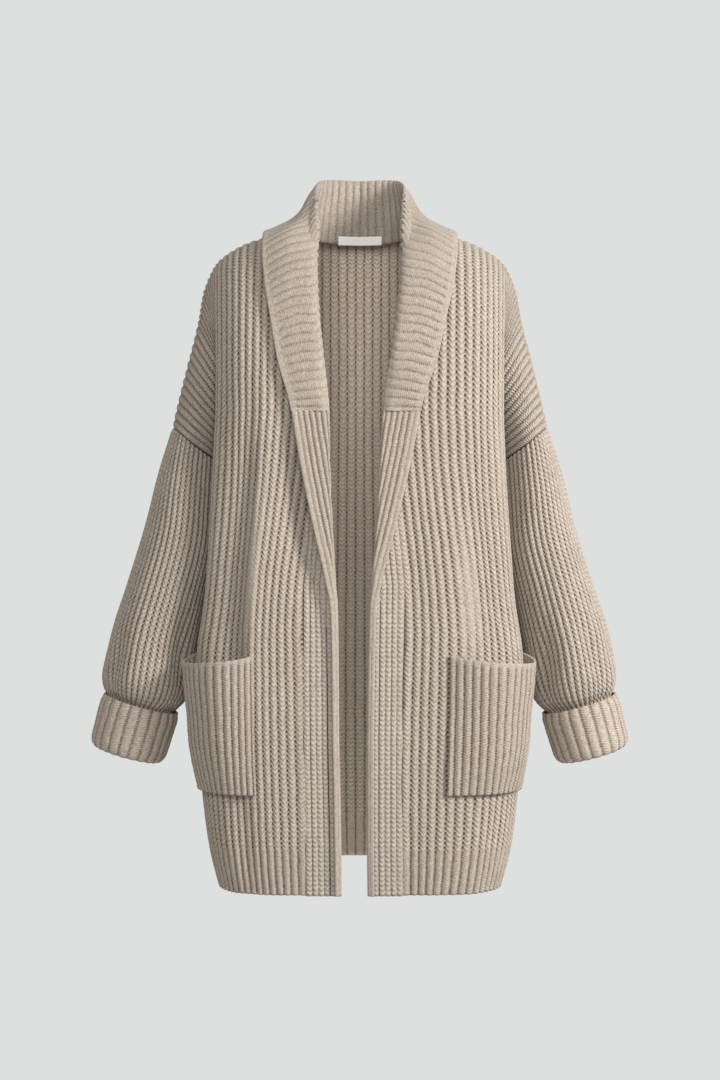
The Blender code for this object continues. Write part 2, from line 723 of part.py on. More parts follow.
def make_cuff(side, collection):
    """The turned-back cuff: two layers of one wall with the fold at the bottom."""
    wall = Wall()
    axis = unit(np.array(CUFF_AXIS))
    outward = unit(np.cross((0.0, 1.0, 0.0), axis))
    outward = outward if outward[0] > 0 else -outward
    depthwise = np.array((0.0, -1.0, 0.0))
    for down, inset, face_down, face_out, rib_step in cuff_profile():
        share = down / CUFF_HEIGHT
        half_width = CUFF_HALF_WIDTH[0] + (CUFF_HALF_WIDTH[1] - CUFF_HALF_WIDTH[0]) * share - inset
        half_depth = CUFF_HALF_DEPTH[0] + (CUFF_HALF_DEPTH[1] - CUFF_HALF_DEPTH[0]) * share - inset
        centre = np.array(CUFF_TOP) + axis * down
        row = []
        for step, relief in ((rib_step, True), (2.0, False)):
            ribs = columns_between(0.0, CUFF_RIBS, step)
            angle = 2 * math.pi * ribs / CUFF_RIBS
            ring = (centre - outward * (half_width * np.cos(angle))[:, None]
                    + depthwise * (half_depth * np.sin(angle))[:, None])
            radial = unit(-outward * (np.cos(angle) / half_width)[:, None]
                          + depthwise * (np.sin(angle) / half_depth)[:, None])
            facing = unit(radial * face_out + axis * face_down)
            depth = RELIEF * rib_groove(ribs) if relief else np.full(len(ribs), WALL)
            row += [ribs, ring - facing * depth[:, None]]
        wall.add_row(*row)
    last = len(wall.rows) - 1
    for row in range(last):
        wall.strip(wall.rows[row], wall.rows[row + 1])
    wall.rim(wall.rows[0], True)
    wall.rim(wall.rows[last], False)
    wall.join_ends()
    name = "cuff_left" if side > 0 else "cuff_right"
    return wall.object(name, "trim", side, collection)


# ---------------------------------------------------------------- bands
def band_path(distance, straight):
    """Across the band from its seam: how far inwards, how far forwards, and the turn."""
    fold_radius = ROLL_RADIUS - WALL
    turn = np.clip((distance - straight) / fold_radius, 0.0, math.pi)
    beyond = np.maximum(distance - straight - math.pi * fold_radius, 0.0)
    inwards = np.minimum(distance, straight) + fold_radius * np.sin(turn) - beyond
    forwards = fold_radius * (1 - np.cos(turn))
    return inwards, forwards, turn


def front_edge_at(level):
    """A front's seam with its band, straight from row to row of the front."""
    edges = np.array([panel_points(np.array([0.0, 0.3]), row, False) for row in BODY_LEVELS])
    flat = edges.reshape(len(BODY_LEVELS), 6)
    return np.array([np.interp(level, BODY_LEVELS, flat[:, k]) for k in range(6)]).reshape(2, 3)


def band_sizes(level):
    """Width of the band and the width left flat below its fold."""
    turned, width = table_at(FRONT_EDGE, front_edge_at(level)[0, 2])[1:]
    return width, width - turned


def band_row(distance, level):
    """Front face of the band and its directions at distances from its seam."""
    seam = front_edge_at(level)
    outward = unit((seam[1] - seam[0]) * np.array((1.0, 1.0, 0.0)))
    facing = np.array((outward[1], -outward[0], 0.0))
    inwards, forwards, turn = band_path(distance, band_sizes(level)[1])
    inwards = inwards + SEAM_GAP
    points = (seam[0] - outward * inwards[:, None] + facing * forwards[:, None])
    normals = facing * np.cos(turn)[:, None] + outward * np.sin(turn)[:, None]
    return points, normals


def band_columns(level):
    """Distances across the band with keys that follow the fold from row to row.

    Every half rib has a point, on the flat part and on the turned part, and the fold
    between them has its own four.
    """
    width, straight = band_sizes(level)
    ribs = np.linspace(0.0, width, 2 * BAND_RIBS + 1)
    bend = math.pi * (ROLL_RADIUS - WALL)
    fold = straight + bend * np.linspace(0.0, 1.0, 4)
    if fold[-1] > width - FOLD_MARGIN:
        return ribs, ribs / width
    flat = ribs[ribs < fold[0] - FOLD_MARGIN]
    leaf = ribs[ribs > fold[-1] + FOLD_MARGIN]
    distance = np.concatenate((flat, fold, leaf))
    keys = np.concatenate((flat / width, 2.0 + np.arange(4.0), 6.0 + leaf / width))
    return distance, keys


def make_band(side, collection):
    """The front band, ribbed on both faces, turned back towards its top."""
    wall = Wall()
    for level in BAND_LEVELS:
        distance, keys = band_columns(level)
        distance = distance[::-1]
        keys = -keys[::-1]
        points, normals = band_row(distance, level)
        groove = rib_groove(BAND_RIBS * distance / band_sizes(level)[0])[:, None]
        front = points - normals * RELIEF * groove
        rear = points - normals * (WALL - RELIEF * groove)
        wall.add_row(keys, front, keys, rear)
    last = len(wall.rows) - 1
    for row in range(last):
        lower = wall.rows[row]
        upper = wall.rows[row + 1]
        wall.strip(lower, upper)
        wall.side_edge(lower, upper, True)
        wall.side_edge(lower, upper, False)
    wall.rim(wall.rows[0], True)
    wall.rim(wall.rows[last], False)
    name = "band_left" if side > 0 else "band_right"
    return wall.object(name, "trim", side, collection)


# ---------------------------------------------------------------- collar
def body_samples():
    """Close points all over the shoulders and chest, and the way each faces."""
    points = []
    facings = []
    for back in (False, True):
        ribs = np.linspace(0.0, CHEST_RIBS + SIDE_RIBS, 60)
        for level in np.linspace(0.9, 2.0, 80):
            def surface(columns, at, back=back):
                return panel_points(columns, at, back)
            normals = grid_normals(surface, ribs, level, 0.0, ribs[-1])
            points.append(surface(ribs, level))
            facings.append(-normals if back else normals)
    return np.concatenate(points), np.concatenate(facings)


BODY_POINTS, BODY_FACINGS = body_samples()
FRONT_COUNT = len(BODY_POINTS) // 2


def on_chest(x, z, lift):
    """A point the given height above the front's outer face, and the way it faces."""
    offset = BODY_POINTS[:FRONT_COUNT, ::2] - np.array((x, z))
    index = int(np.argmin((offset ** 2).sum(axis=1)))
    point = BODY_POINTS[index]
    facing = BODY_FACINGS[index]
    y = point[1] - ((x - point[0]) * facing[0] + (z - point[2]) * facing[2]) / facing[1]
    return np.array((x, y, z)) + facing * lift, facing


def above_body(point, lift, exactly):
    """The point, moved straight out of the body until it has the given height."""
    index = int(np.argmin(((BODY_POINTS - point) ** 2).sum(axis=1)))
    facing = BODY_FACINGS[index]
    move = lift - (point - BODY_POINTS[index]) @ facing
    return point + facing * (move if exactly else max(move, 0.0))


def neck_edge():
    """The seam of the collar on the body, centre back to front, and the way it faces."""
    columns = panel_columns(2.0, True, 0.5)
    points = panel_points(columns, 2.0, True)
    keep = points[:, 0] < NECK_X - 0.002
    path = list(points[keep])
    faces = list(-grid_normals(lambda c, r: panel_points(c, r, True),
                               columns[keep], 2.0, 0.0, BACK_RIBS))
    for level in YOKE_LEVELS[::-1] + BODY_LEVELS[-1:]:
        column = np.array([neck_start(level)])
        path.append(panel_points(column, level, False)[0])
        faces.append(grid_normals(lambda c, r: panel_points(c, r, False),
                                  column, level, column[0], CHEST_RIBS)[0])
    path = np.array(path)
    faces = unit(np.array(faces))
    faces[0, 0] = 0.0
    opening = unit(np.cross(np.gradient(path, axis=0), faces))
    path = path + opening * 2 * SEAM_GAP
    path[-1, 2] += SEAM_GAP
    return path, faces


def station(seam, roll, outward, middle, edge):
    """Seven points across the collar: up the stand, over the roll and down the leaf."""
    stand = unit(roll - seam)
    outward = unit(outward - (outward @ stand) * stand)
    base = roll - stand * ROLL_RADIUS
    tip = roll + outward * ROLL_RADIUS
    over = base + outward * 2 * ROLL_RADIUS
    return [seam, 0.5 * (seam + base), base, tip, over, middle, edge]


def collar_stations():
    """Places along the seam, the points across the collar there, the seam and its turn.

    The seam is the edge of the plain face; the turn points from the ribbed face to it.
    """
    path, faces = neck_edge()
    whole = lengths_along(path)[-1]
    places = []
    rows = []
    turns = []
    for share, *sizes, lift in COLLAR:
        seam = along(path, np.array([share * whole]))[0]
        roll = np.array(sizes[:3])
        edge = above_body(np.array(sizes[3:]), LEAF_LIFT, True)
        stand = unit(roll - seam)
        outward = unit((edge - seam) - ((edge - seam) @ stand) * stand)
        over = roll - stand * ROLL_RADIUS + outward * 2 * ROLL_RADIUS
        middle = above_body(0.5 * (over + edge) + outward * lift, LEAF_LIFT, False)
        facing = unit(np.array([np.interp(share * whole, lengths_along(path), faces[:, k])
                                for k in range(3)]))
        crest = seam + facing * LEAF_LIFT
        part = np.clip((crest - over) @ (edge - over) / ((edge - over) @ (edge - over)), 0.2, 0.8)
        chord = 2 * min(part, 1 - part)
        line = (over if part < 0.5 else edge) * (1 - chord) + middle * chord
        middle = middle + facing * max((crest - line) @ facing, 0.0) / chord
        places.append(share * whole)
        turns.append(outward)
        rows.append(station(seam - outward * WALL, roll, outward, middle, edge))
    for share, roll_x, roll_z, edge_x, edge_z, lift in COLLAR_FRONT:
        seam = along(path, np.array([share * whole]))[0]
        turn = unit(np.array([np.interp(share * whole, lengths_along(path), faces[:, k])
                              for k in range(3)]))
        roll, facing = on_chest(roll_x, roll_z, -WALL)
        middle, _ = on_chest(0.5 * (roll_x + edge_x), 0.5 * (roll_z + edge_z), LEAF_LIFT + lift)
        edge, _ = on_chest(edge_x, edge_z, LEAF_LIFT)
        row = station(seam - turn * WALL, roll, facing, middle, edge)
        halfway = 0.5 * (row[0] + row[2])
        row[1] = on_chest(halfway[0], halfway[2], -WALL)[0]
        places.append(share * whole)
        turns.append(turn)
        rows.append(row)
    width, straight = band_sizes(1.0)
    bend = math.pi * (ROLL_RADIUS - WALL)
    across = np.array((0.0, 0.5 * straight, straight, straight + 0.5 * bend,
                       straight + bend, 0.5 * (straight + bend + width), width))
    end, facing = band_row(across, 1.0)
    end = end - facing * WALL
    end[:, 2] += SEAM_GAP
    places.append(whole)
    turns.append(facing[0])
    rows.append(end)
    return np.array(places), np.array(rows), path, np.array(turns)


class Collar:
    """The collar's ribbed face, by rib from the centre back and place across."""

    def __init__(self):
        self.places, self.stations, self.path, self.turns = collar_stations()

    def place_of(self, ribs):
        return np.abs(ribs) / COLLAR_HALF_RIBS * self.places[-1]

    def side_of(self, ribs):
        sides = np.ones((len(ribs), 3))
        sides[ribs < 0, 0] = -1.0
        return sides

    def turn(self, ribs):
        """From the ribbed face to the plain face, on the seam."""
        return unit(smooth(self.places, self.turns, self.place_of(ribs))) * self.side_of(ribs)

    def sections(self, ribs):
        """Seven points across the collar at each rib, from the seam to the leaf's edge."""
        place = self.place_of(ribs)
        side = self.side_of(ribs)
        flat = self.stations.reshape(len(self.stations), -1)
        points = smooth(self.places, flat, place).reshape(len(ribs), 7, 3) * side[:, None, :]
        points[:, 0] = along(self.path, place) * side - self.turn(ribs) * WALL
        return points


def collar_row(collar, across, step):
    """The collar's ribbed face at one of the seven places across it, and its normals."""
    half = COLLAR_HALF_RIBS
    ribs = columns_between(-half, half, step)
    sections = collar.sections(ribs)
    beside = (collar.sections(np.clip(ribs + SLOPE_REACH, -half, half))[:, across]
              - collar.sections(np.clip(ribs - SLOPE_REACH, -half, half))[:, across])
    before, after = ACROSS_NEIGHBOURS[across]
    normals = np.cross(beside, sections[:, after] - sections[:, before])
    if across == 0:
        normals = -collar.turn(ribs)
    normals[np.abs(ribs) > half - 1e-6, 2] = 0.0
    return ribs, sections[:, across], unit(normals)


# For each of the seven places across the collar, the two that give its slope there.
ACROSS_NEIGHBOURS = ((0, 1), (0, 2), (1, 2), (2, 4), (4, 5), (4, 6), (5, 6))


def make_collar(collection):
    """The shawl collar, ribs across it, in one wall from end to end."""
    wall = Wall()
    collar = Collar()
    for across, plain_step in enumerate((0.5, 2.0, 2.0, 1.0, 1.0, 1.0, 1.0)):
        ribs, points, normals = collar_row(collar, across, 0.5)
        ribbed = points - normals * (RELIEF * rib_groove(ribs))[:, None]
        plain_ribs, points, normals = collar_row(collar, across, plain_step)
        wall.add_row(ribs, ribbed, plain_ribs, points - normals * WALL)
    last = len(wall.rows) - 1
    for row in range(last):
        lower = wall.rows[row]
        upper = wall.rows[row + 1]
        wall.strip(lower, upper)
        wall.side_edge(lower, upper, True)
        wall.side_edge(lower, upper, False)
    wall.rim(wall.rows[0], True)
    wall.rim(wall.rows[last], False)
    return wall.object("collar", "trim", 1, collection)


# ---------------------------------------------------------------- pockets and label
def make_pocket(side, collection):
    """A ribbed patch: the front's points moved out, more so at its mouth."""
    wall = Wall()
    inner_edge, outer_edge = POCKET_EDGES[side]
    width = outer_edge - inner_edge

    def surface(ribs, level):
        return panel_points(ribs, level, False)

    span = UNDERARM_Z - HEM_Z
    for step in range(POCKET_ROWS + 1):
        up = step / POCKET_ROWS
        height = POCKET_BOTTOM + (POCKET_TOP - POCKET_BOTTOM) * up
        level = (height - HEM_Z) / span
        row = []
        for column_step, relief in ((0.5, True), (1.0, False)):
            ribs = columns_between(inner_edge, outer_edge, column_step)
            crest = surface(ribs, level)
            normals = grid_normals(surface, ribs, level, 0.0, CHEST_RIBS + SIDE_RIBS)
            across = (ribs - inner_edge) / width
            belly = np.sin(math.pi * across) ** 0.8 * (
                1 - POCKET_SIDE_FLAT * ease((across - 0.5) / 0.25))
            crest[:, 2] -= POCKET_DIP * belly * up ** 3
            stand = POCKET_BAG * math.sin(math.pi * min(up, 0.5)) + (
                POCKET_GAPE - POCKET_BAG) * ease((up - 0.45) / 0.55)
            lift = POCKET_CLEAR + WALL + belly * stand
            depth = lift - (RELIEF * rib_groove(ribs) if relief else WALL)
            row += [ribs, crest + normals * depth[:, None]]
        wall.add_row(*row)
    last = len(wall.rows) - 1
    for row in range(last):
        lower = wall.rows[row]
        upper = wall.rows[row + 1]
        wall.strip(lower, upper)
        wall.side_edge(lower, upper, True)
        wall.side_edge(lower, upper, False)
    wall.rim(wall.rows[0], True)
    wall.rim(wall.rows[last], False)
    name = "pocket_left" if side > 0 else "pocket_right"
    return wall.object(name, "trim", side, collection)


def make_label(collection):
    """A bare woven label across the inside of the back neck seam."""
    wall = Wall()
    ribs = np.linspace(-8.0, 8.0, 33)
    seam = Collar().sections(ribs)[:, 0]
    across = np.linspace(-LABEL_HALF_WIDTH, LABEL_HALF_WIDTH, 7)
    seam_y = np.interp(across, seam[:, 0], seam[:, 1])
    for height, clear in ((LABEL_BOTTOM, 0.0001), (LABEL_TOP, 0.0004)):
        inside = seam_y - SEAM_GAP - clear
        near = np.column_stack((across, inside - LABEL_THICKNESS, np.full(7, height)))
        far = np.column_stack((across, inside, np.full(7, height)))
        wall.add_row(across, near, across, far)
    wall.strip(wall.rows[0], wall.rows[1])
    wall.side_edge(wall.rows[0], wall.rows[1], True)
    wall.side_edge(wall.rows[0], wall.rows[1], False)
    wall.rim(wall.rows[0], True)
    wall.rim(wall.rows[1], False)
    return wall.object("neck_label", "label", 1, collection)


def main():
    for item in list(bpy.data.objects):
        bpy.data.objects.remove(item, do_unlink=True)
    collection = bpy.data.collections.new("shawl_collar_cardigan")
    bpy.context.scene.collection.children.link(collection)
    make_back(collection)
    for side in (1, -1):
        make_front(side, collection)
        make_band(side, collection)
        make_sleeve(side, collection)
        make_cuff(side, collection)
        make_pocket(side, collection)
    make_collar(collection)
    make_label(collection)


main()
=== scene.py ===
# %% [markdown]
# # A chunky shawl collar cardigan
#
# The real cardigan is knitted in thick, soft, oatmeal yarn and sewn from a few pieces:
# a back, two fronts, two sleeves with turned-back cuffs, a shawl collar that runs into
# two front bands, two patch pockets and a woven neck label.
# It could be modelled by sculpting one closed shape.  Here each sewn piece is a sheet of
# its own instead, laid over a form worked out from a few measurements, because the
# ribs, stitches and seams then run the way the knitting runs.

# %% Load the frame
import math

import bmesh
import bpy
import numpy as np
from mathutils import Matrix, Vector


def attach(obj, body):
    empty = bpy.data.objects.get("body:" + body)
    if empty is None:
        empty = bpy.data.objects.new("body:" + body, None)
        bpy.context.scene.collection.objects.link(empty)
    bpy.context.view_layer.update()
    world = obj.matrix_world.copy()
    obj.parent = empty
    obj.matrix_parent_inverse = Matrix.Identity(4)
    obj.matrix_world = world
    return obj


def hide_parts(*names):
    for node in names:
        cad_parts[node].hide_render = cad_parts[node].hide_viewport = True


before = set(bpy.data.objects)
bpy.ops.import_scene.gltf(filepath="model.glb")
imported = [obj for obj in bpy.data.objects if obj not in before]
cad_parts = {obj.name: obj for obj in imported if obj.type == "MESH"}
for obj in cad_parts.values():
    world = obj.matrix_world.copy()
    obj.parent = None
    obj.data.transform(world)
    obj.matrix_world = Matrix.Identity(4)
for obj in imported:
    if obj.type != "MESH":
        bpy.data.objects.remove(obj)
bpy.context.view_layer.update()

# %% [markdown]
# ## The measurements
#
# A knitter's schematic gives widths, lengths and rib counts.  The tables here are that
# schematic, in metres: +Z is up, the fronts face -Y, and the wearer's left is +X.
# The body could be drawn as curves in the editor.  Short tables that are read smoothly
# are used instead, because one number can be corrected without moving its neighbours.

# %% Body measurements
HEM_Z = -0.830
UNDERARM_Z = -0.236
WALL = 0.0045            # knitting measured over its ribs
SEAM_GAP = 0.0003        # left between two pieces at a seam
CHEST_RIBS, SIDE_RIBS = 14, 9
BACK_RIBS, BACK_SIDE_RIBS = 19, 10
WING_RIBS = 12           # the drop shoulder's extra ribs, over the upper arm

BODY = (
    # height, fold_x, fold_y, side_x, front_y, back_fold_x, back_fold_y, back_y
    (-0.830, 0.1770, 0.076, 0.1780, 0.132, 0.1720, 0.090, 0.148),
    (-0.790, 0.1870, 0.081, 0.1880, 0.136, 0.1820, 0.095, 0.152),
    (-0.720, 0.1965, 0.085, 0.1980, 0.140, 0.1920, 0.098, 0.155),
    (-0.620, 0.2010, 0.086, 0.2010, 0.141, 0.1970, 0.098, 0.155),
    (-0.540, 0.2000, 0.086, 0.1940, 0.139, 0.1960, 0.096, 0.151),
    (-0.450, 0.1930, 0.085, 0.1760, 0.134, 0.1890, 0.091, 0.145),
    (-0.350, 0.1860, 0.083, 0.1510, 0.127, 0.1810, 0.085, 0.138),
    (-0.236, 0.1815, 0.078, 0.1340, 0.1215, 0.1740, 0.080, 0.128),
)
FRONT_EDGE = (
    # height, seam_x, turned_width (below 0 where nothing turns back), band_width
    (-0.830, 0.0590, -0.010, 0.0450),
    (-0.674, 0.0595, -0.010, 0.0450),
    (-0.570, 0.0620, -0.006, 0.0450),
    (-0.490, 0.0640, 0.000, 0.0450),
    (-0.440, 0.0610, 0.0105, 0.0455),
    (-0.399, 0.0560, 0.0185, 0.0455),
    (-0.348, 0.0490, 0.0278, 0.0460),
    (-0.296, 0.0430, 0.0366, 0.0465),
    (-0.236, 0.0385, 0.0456, 0.0470),
)
# How far the fronts' middle hangs to one side, at each height.
LEAN = ((-0.830, 0.0065), (-0.640, 0.0083), (-0.450, 0.0078),
        (-0.236, 0.0050), (-0.100, 0.0025), (0.000, 0.0))
LEAN_FULL_X, LEAN_NONE_X = 0.085, 0.165
print("schematic:", len(BODY), "body sections")

# %% Shoulder and neck measurements
SHOULDER_Y = 0.013       # the shoulder line lies a little behind the side seam
SHOULDER = (
    # x, z, from the neck down the top of the arm
    (0.0790, 0.0140), (0.1200, 0.0020), (0.1560, -0.0110), (0.1885, -0.0350),
    (0.2030, -0.0640), (0.2120, -0.1110), (0.2250, -0.1625), (0.2370, -0.2125),
    (0.2450, -0.2480),
)
SHOULDER_FAN = 0.60      # the armpit's rib ends at this share of the shoulder line
FOLD_LEAN = 0.007        # how far the side fold's rib leans out on its way up
NECK_X = 0.079           # the highest neck point
NAPE_X, BLADE_X = 0.030, 0.130   # the back slopes down to the shoulder between these
BACK_NECK = (
    # x, y, z, from the centre back to the highest neck point
    (0.0000, 0.0880, 0.0100), (0.0430, 0.0790, 0.0110),
    (0.0690, 0.0520, 0.0130), (0.0790, 0.0130, 0.0140),
)
UNDERARM_END = (0.1660, 0.0, -0.3050)   # where the drop shoulder ends under the arm
ARM_FRONT = (0.066, 0.072)   # how full it is in front, at the armpit and at the sleeve
ARM_BACK = (0.070, 0.076)
print("shoulder:", len(SHOULDER), "points, back neck:", len(BACK_NECK), "points")

# %% [markdown]
# ## Reading the schematic
#
# A draper joins measurements with fair curves.  Bezier curves in the scene could do it.
# Hermite curves worked out here do the same with less to look after: they pass through
# every measurement, and moving one row changes only its neighbourhood.

# %% Curve helpers
def smooth(knots, values, at):
    """Smooth curve through the table's values, at the given places."""
    knots = np.asarray(knots, float)
    values = np.asarray(values, float)
    at = np.clip(np.asarray(at, float), knots[0], knots[-1])
    slopes = np.gradient(values, knots, axis=0)
    index = np.clip(np.searchsorted(knots, at, side="right") - 1, 0, len(knots) - 2)
    span = knots[index + 1] - knots[index]
    t = (at - knots[index]) / span
    if values.ndim > 1:
        t = t[..., None]
        span = span[..., None]
    return ((1 + 2 * t) * (1 - t) ** 2 * values[index]
            + t * t * (3 - 2 * t) * values[index + 1]
            + t * (1 - t) ** 2 * span * slopes[index]
            + t * t * (t - 1) * span * slopes[index + 1])


def table_at(table, height):
    """One row of a table, read smoothly at a height."""
    table = np.array(table, float)
    return smooth(table[:, 0], table[:, 1:], height)


def lengths_along(points):
    """The length of a path of points up to each of them."""
    steps = np.linalg.norm(np.diff(points, axis=0), axis=1)
    return np.concatenate(([0.0], np.cumsum(steps)))


SPAN_STEPS = 24          # close points between two points of a path


def dense_path(points):
    """A smooth path through a few points, as many close points."""
    points = np.array(points, float)
    knots = lengths_along(points)
    at = np.concatenate([np.linspace(knots[i], knots[i + 1], SPAN_STEPS, endpoint=False)
                         for i in range(len(knots) - 1)] + [knots[-1:]])
    return smooth(knots, points, at)


def along(path, distance):
    """Points at the given distances along a dense path."""
    measured = lengths_along(path)
    return np.stack([np.interp(distance, measured, path[:, k])
                     for k in range(path.shape[1])], axis=-1)


def ease(t):
    """Rises softly from 0 to 1 as t does."""
    t = np.clip(t, 0.0, 1.0)
    return t * t * (3 - 2 * t)


def unit(vectors):
    """The vectors, made one long."""
    length = np.linalg.norm(vectors, axis=-1, keepdims=True)
    return vectors / np.maximum(length, 1e-9)


def hill(x, centre, width):
    """A soft bump, 1 at its centre."""
    return np.exp(-((x - centre) / width) ** 2)


print("smooth(0.5) of a straight table:", smooth((0, 1), (0.0, 2.0), 0.5))

# %% [markdown]
# ## The body's form
#
# Worn, the body is a soft box: a wide front and back with rounded side folds, the sides
# drawn in under the arms, and a yoke that rounds over to the shoulder line.  It could be
# sculpted, or draped over a dummy by a simulation.  Here every point is named by how many
# ribs it lies from the middle and how far up it is, because a rib of the knitting is then
# simply a line of constant rib number.

# %% Sections of the body
BACK_ROUNDING = 0.985    # depth half way across the back, as a share of its middle's
FRONT_MIDDLE = 0.75      # where the front is still flat, as a share of its fold's width
SIDE_INSET = 0.45        # how far the side is drawn in half way round it
FOLD_START = (0.86, 0.50, 0.61)   # shares of the fold's width, its depth and the middle's
FOLD_POINT = 3           # the side fold's place in the section's points


def half_section(height, back):
    """Points round one half of the body, and the distance to its side fold."""
    (fold_x, fold_y, side_x, front_y, back_fold_x, back_fold_y, back_y) = table_at(BODY, height)
    if back:
        corner = np.array((back_fold_x, back_fold_y))
        points = [(0.0, back_y), (0.5 * back_fold_x, BACK_ROUNDING * back_y)]
    else:
        edge_x = table_at(FRONT_EDGE, height)[0]
        corner = np.array((fold_x, -fold_y))
        points = [(edge_x, -front_y), (0.5 * (edge_x + FRONT_MIDDLE * fold_x), -front_y)]
    inset = (side_x + SIDE_INSET * (corner[0] - side_x), 0.5 * corner[1])
    across, near, far = FOLD_START
    fold_start = (across * corner[0], near * corner[1] + far * points[1][1])
    points += [fold_start, tuple(corner), inset, (side_x, 0.0)]
    path = dense_path(points)
    return path, lengths_along(path)[SPAN_STEPS * FOLD_POINT]


def section_points(ribs, height, back):
    """Points of a horizontal section at the given rib counts from its middle."""
    path, fold_at = half_section(height, back)
    whole = lengths_along(path)[-1]
    before, after = (BACK_RIBS, BACK_SIDE_RIBS) if back else (CHEST_RIBS, SIDE_RIBS)
    distance = np.where(ribs <= before, ribs / before * fold_at,
                        fold_at + (ribs - before) / after * (whole - fold_at))
    flat = along(path, distance)
    return np.column_stack((flat, np.full(len(flat), height)))


print("hem, middle to side:", section_points(np.array([0.0, 23.0]), HEM_Z, False).round(3).tolist())

# %% Shoulder line and upper body
SHOULDER_PATH = dense_path(SHOULDER)
SHOULDER_AT = lengths_along(SHOULDER_PATH)
SHOULDER_LENGTH = SHOULDER_AT[-1]
NECK_PATH = dense_path(BACK_NECK)
CHEST_CURVE = 0.9        # below 1, the chest stays full higher up
TOP_CURVE = 6            # how late the chest's ribs bend to the shoulder line


def shoulder_points(distance):
    """Points on the shoulder line at distances along it."""
    flat = along(SHOULDER_PATH, distance)
    return np.column_stack((flat[:, 0], np.full(len(flat), SHOULDER_Y), flat[:, 1]))


def top_points(across, back):
    """Where the ribs that start at the given x reach the shoulder or the neck."""
    top = shoulder_points(np.interp(across, SHOULDER_PATH[:, 0], SHOULDER_AT))
    inside = across < NECK_X
    if back:
        neck = np.stack([np.interp(across, NECK_PATH[:, 0], NECK_PATH[:, k])
                         for k in range(3)], axis=-1)
        return np.where(inside[:, None], neck, top)
    top[inside, 0] = across[inside]
    return top


def chest_points(ribs, share, back):
    """Upper body between the middle and the side fold: each rib is a quarter oval."""
    before = BACK_RIBS if back else CHEST_RIBS
    start = section_points(ribs, UNDERARM_Z, back)
    top = top_points(start[:, 0] + FOLD_LEAN * (ribs / before) ** 2, back)
    rise = math.sin(share * math.pi / 2)
    forward = math.cos(share * math.pi / 2) ** CHEST_CURVE
    crown = top[:, 1]
    if back:
        slope = ease((top[:, 0] - NAPE_X) / (BLADE_X - NAPE_X))
        crown = BACK_NECK[0][1] + (SHOULDER_Y - BACK_NECK[0][1]) * slope
    x = start[:, 0] + (top[:, 0] - start[:, 0]) * rise ** 2
    y = crown + (start[:, 1] - crown) * forward + (top[:, 1] - crown) * share ** TOP_CURVE
    z = start[:, 2] + (top[:, 2] - start[:, 2]) * rise
    return np.column_stack((x, y, z))


print("shoulder line:", round(float(SHOULDER_LENGTH), 3), "m")

# %% Drop shoulder and side
WING_CURVE = 1.1         # above 1, the wing is fuller at its lower end


def wing_points(reach, share, back):
    """The drop shoulder over the upper arm: reach 0 at the armpit, 1 at the sleeve."""
    armpit = np.array((table_at(BODY, UNDERARM_Z)[2], 0.0, UNDERARM_Z))
    inner = armpit + reach[:, None] * (np.array(UNDERARM_END) - armpit)
    outer = shoulder_points(SHOULDER_LENGTH * (SHOULDER_FAN + (1 - SHOULDER_FAN) * reach))
    near, far = ARM_BACK if back else ARM_FRONT
    points = inner + (outer - inner) * math.sin(share * math.pi / 2) ** WING_CURVE
    sign = 1.0 if back else -1.0
    points[:, 1] += sign * (near + (far - near) * reach) * math.sin(math.pi * share)
    return points


def side_points(part, share, back):
    """Between the side fold (part 0) and the armpit's rib (part 1)."""
    before, after = (BACK_RIBS, BACK_SIDE_RIBS) if back else (CHEST_RIBS, SIDE_RIBS)
    fold_rib = np.array([float(before)])
    armpit_rib = np.array([0.0])
    part = part[:, None]

    def between(first, last):
        """Straight lines from one point to the other."""
        return first + part * (last - first)

    points = between(chest_points(fold_rib, share, back), wing_points(armpit_rib, share, back))
    wall = section_points(before + after * part[:, 0], UNDERARM_Z, back)
    wall_chord = between(chest_points(fold_rib, 0.0, back), wing_points(armpit_rib, 0.0, back))
    fold_top = chest_points(fold_rib, 1.0, back)
    fold_distance = np.interp(fold_top[0, 0], SHOULDER_PATH[:, 0], SHOULDER_AT)
    reach = SHOULDER_FAN * SHOULDER_LENGTH
    ends = shoulder_points(fold_distance + part[:, 0] * (reach - fold_distance))
    top_chord = between(fold_top, wing_points(armpit_rib, 1.0, back))
    return points + (wall - wall_chord) * (1 - share) ** 3 + (ends - top_chord) * share ** 3


print("armpit:", wing_points(np.array([0.0]), 0.0, False).round(3).tolist())

# %% The whole panel
def panel_points(ribs, level, back):
    """A front or half back.  Level 0 is the hem, 1 the underarm and 2 the shoulder."""
    ribs = np.asarray(ribs, float)
    if level < 1.0:
        return section_points(ribs, HEM_Z + (UNDERARM_Z - HEM_Z) * level, back)
    share = level - 1.0
    before, after = (BACK_RIBS, BACK_SIDE_RIBS) if back else (CHEST_RIBS, SIDE_RIBS)
    points = np.zeros((len(ribs), 3))
    chest = ribs <= before
    wing = ribs >= before + after
    side = ~chest & ~wing
    if chest.any():
        points[chest] = chest_points(ribs[chest], share, back)
    if side.any():
        points[side] = side_points((ribs[side] - before) / after, share, back)
    if wing.any():
        points[wing] = wing_points((ribs[wing] - before - after) / WING_RIBS, share, back)
    return points


NECK_STRAIGHT = 0.72     # how much of the front's neckline is cut straight


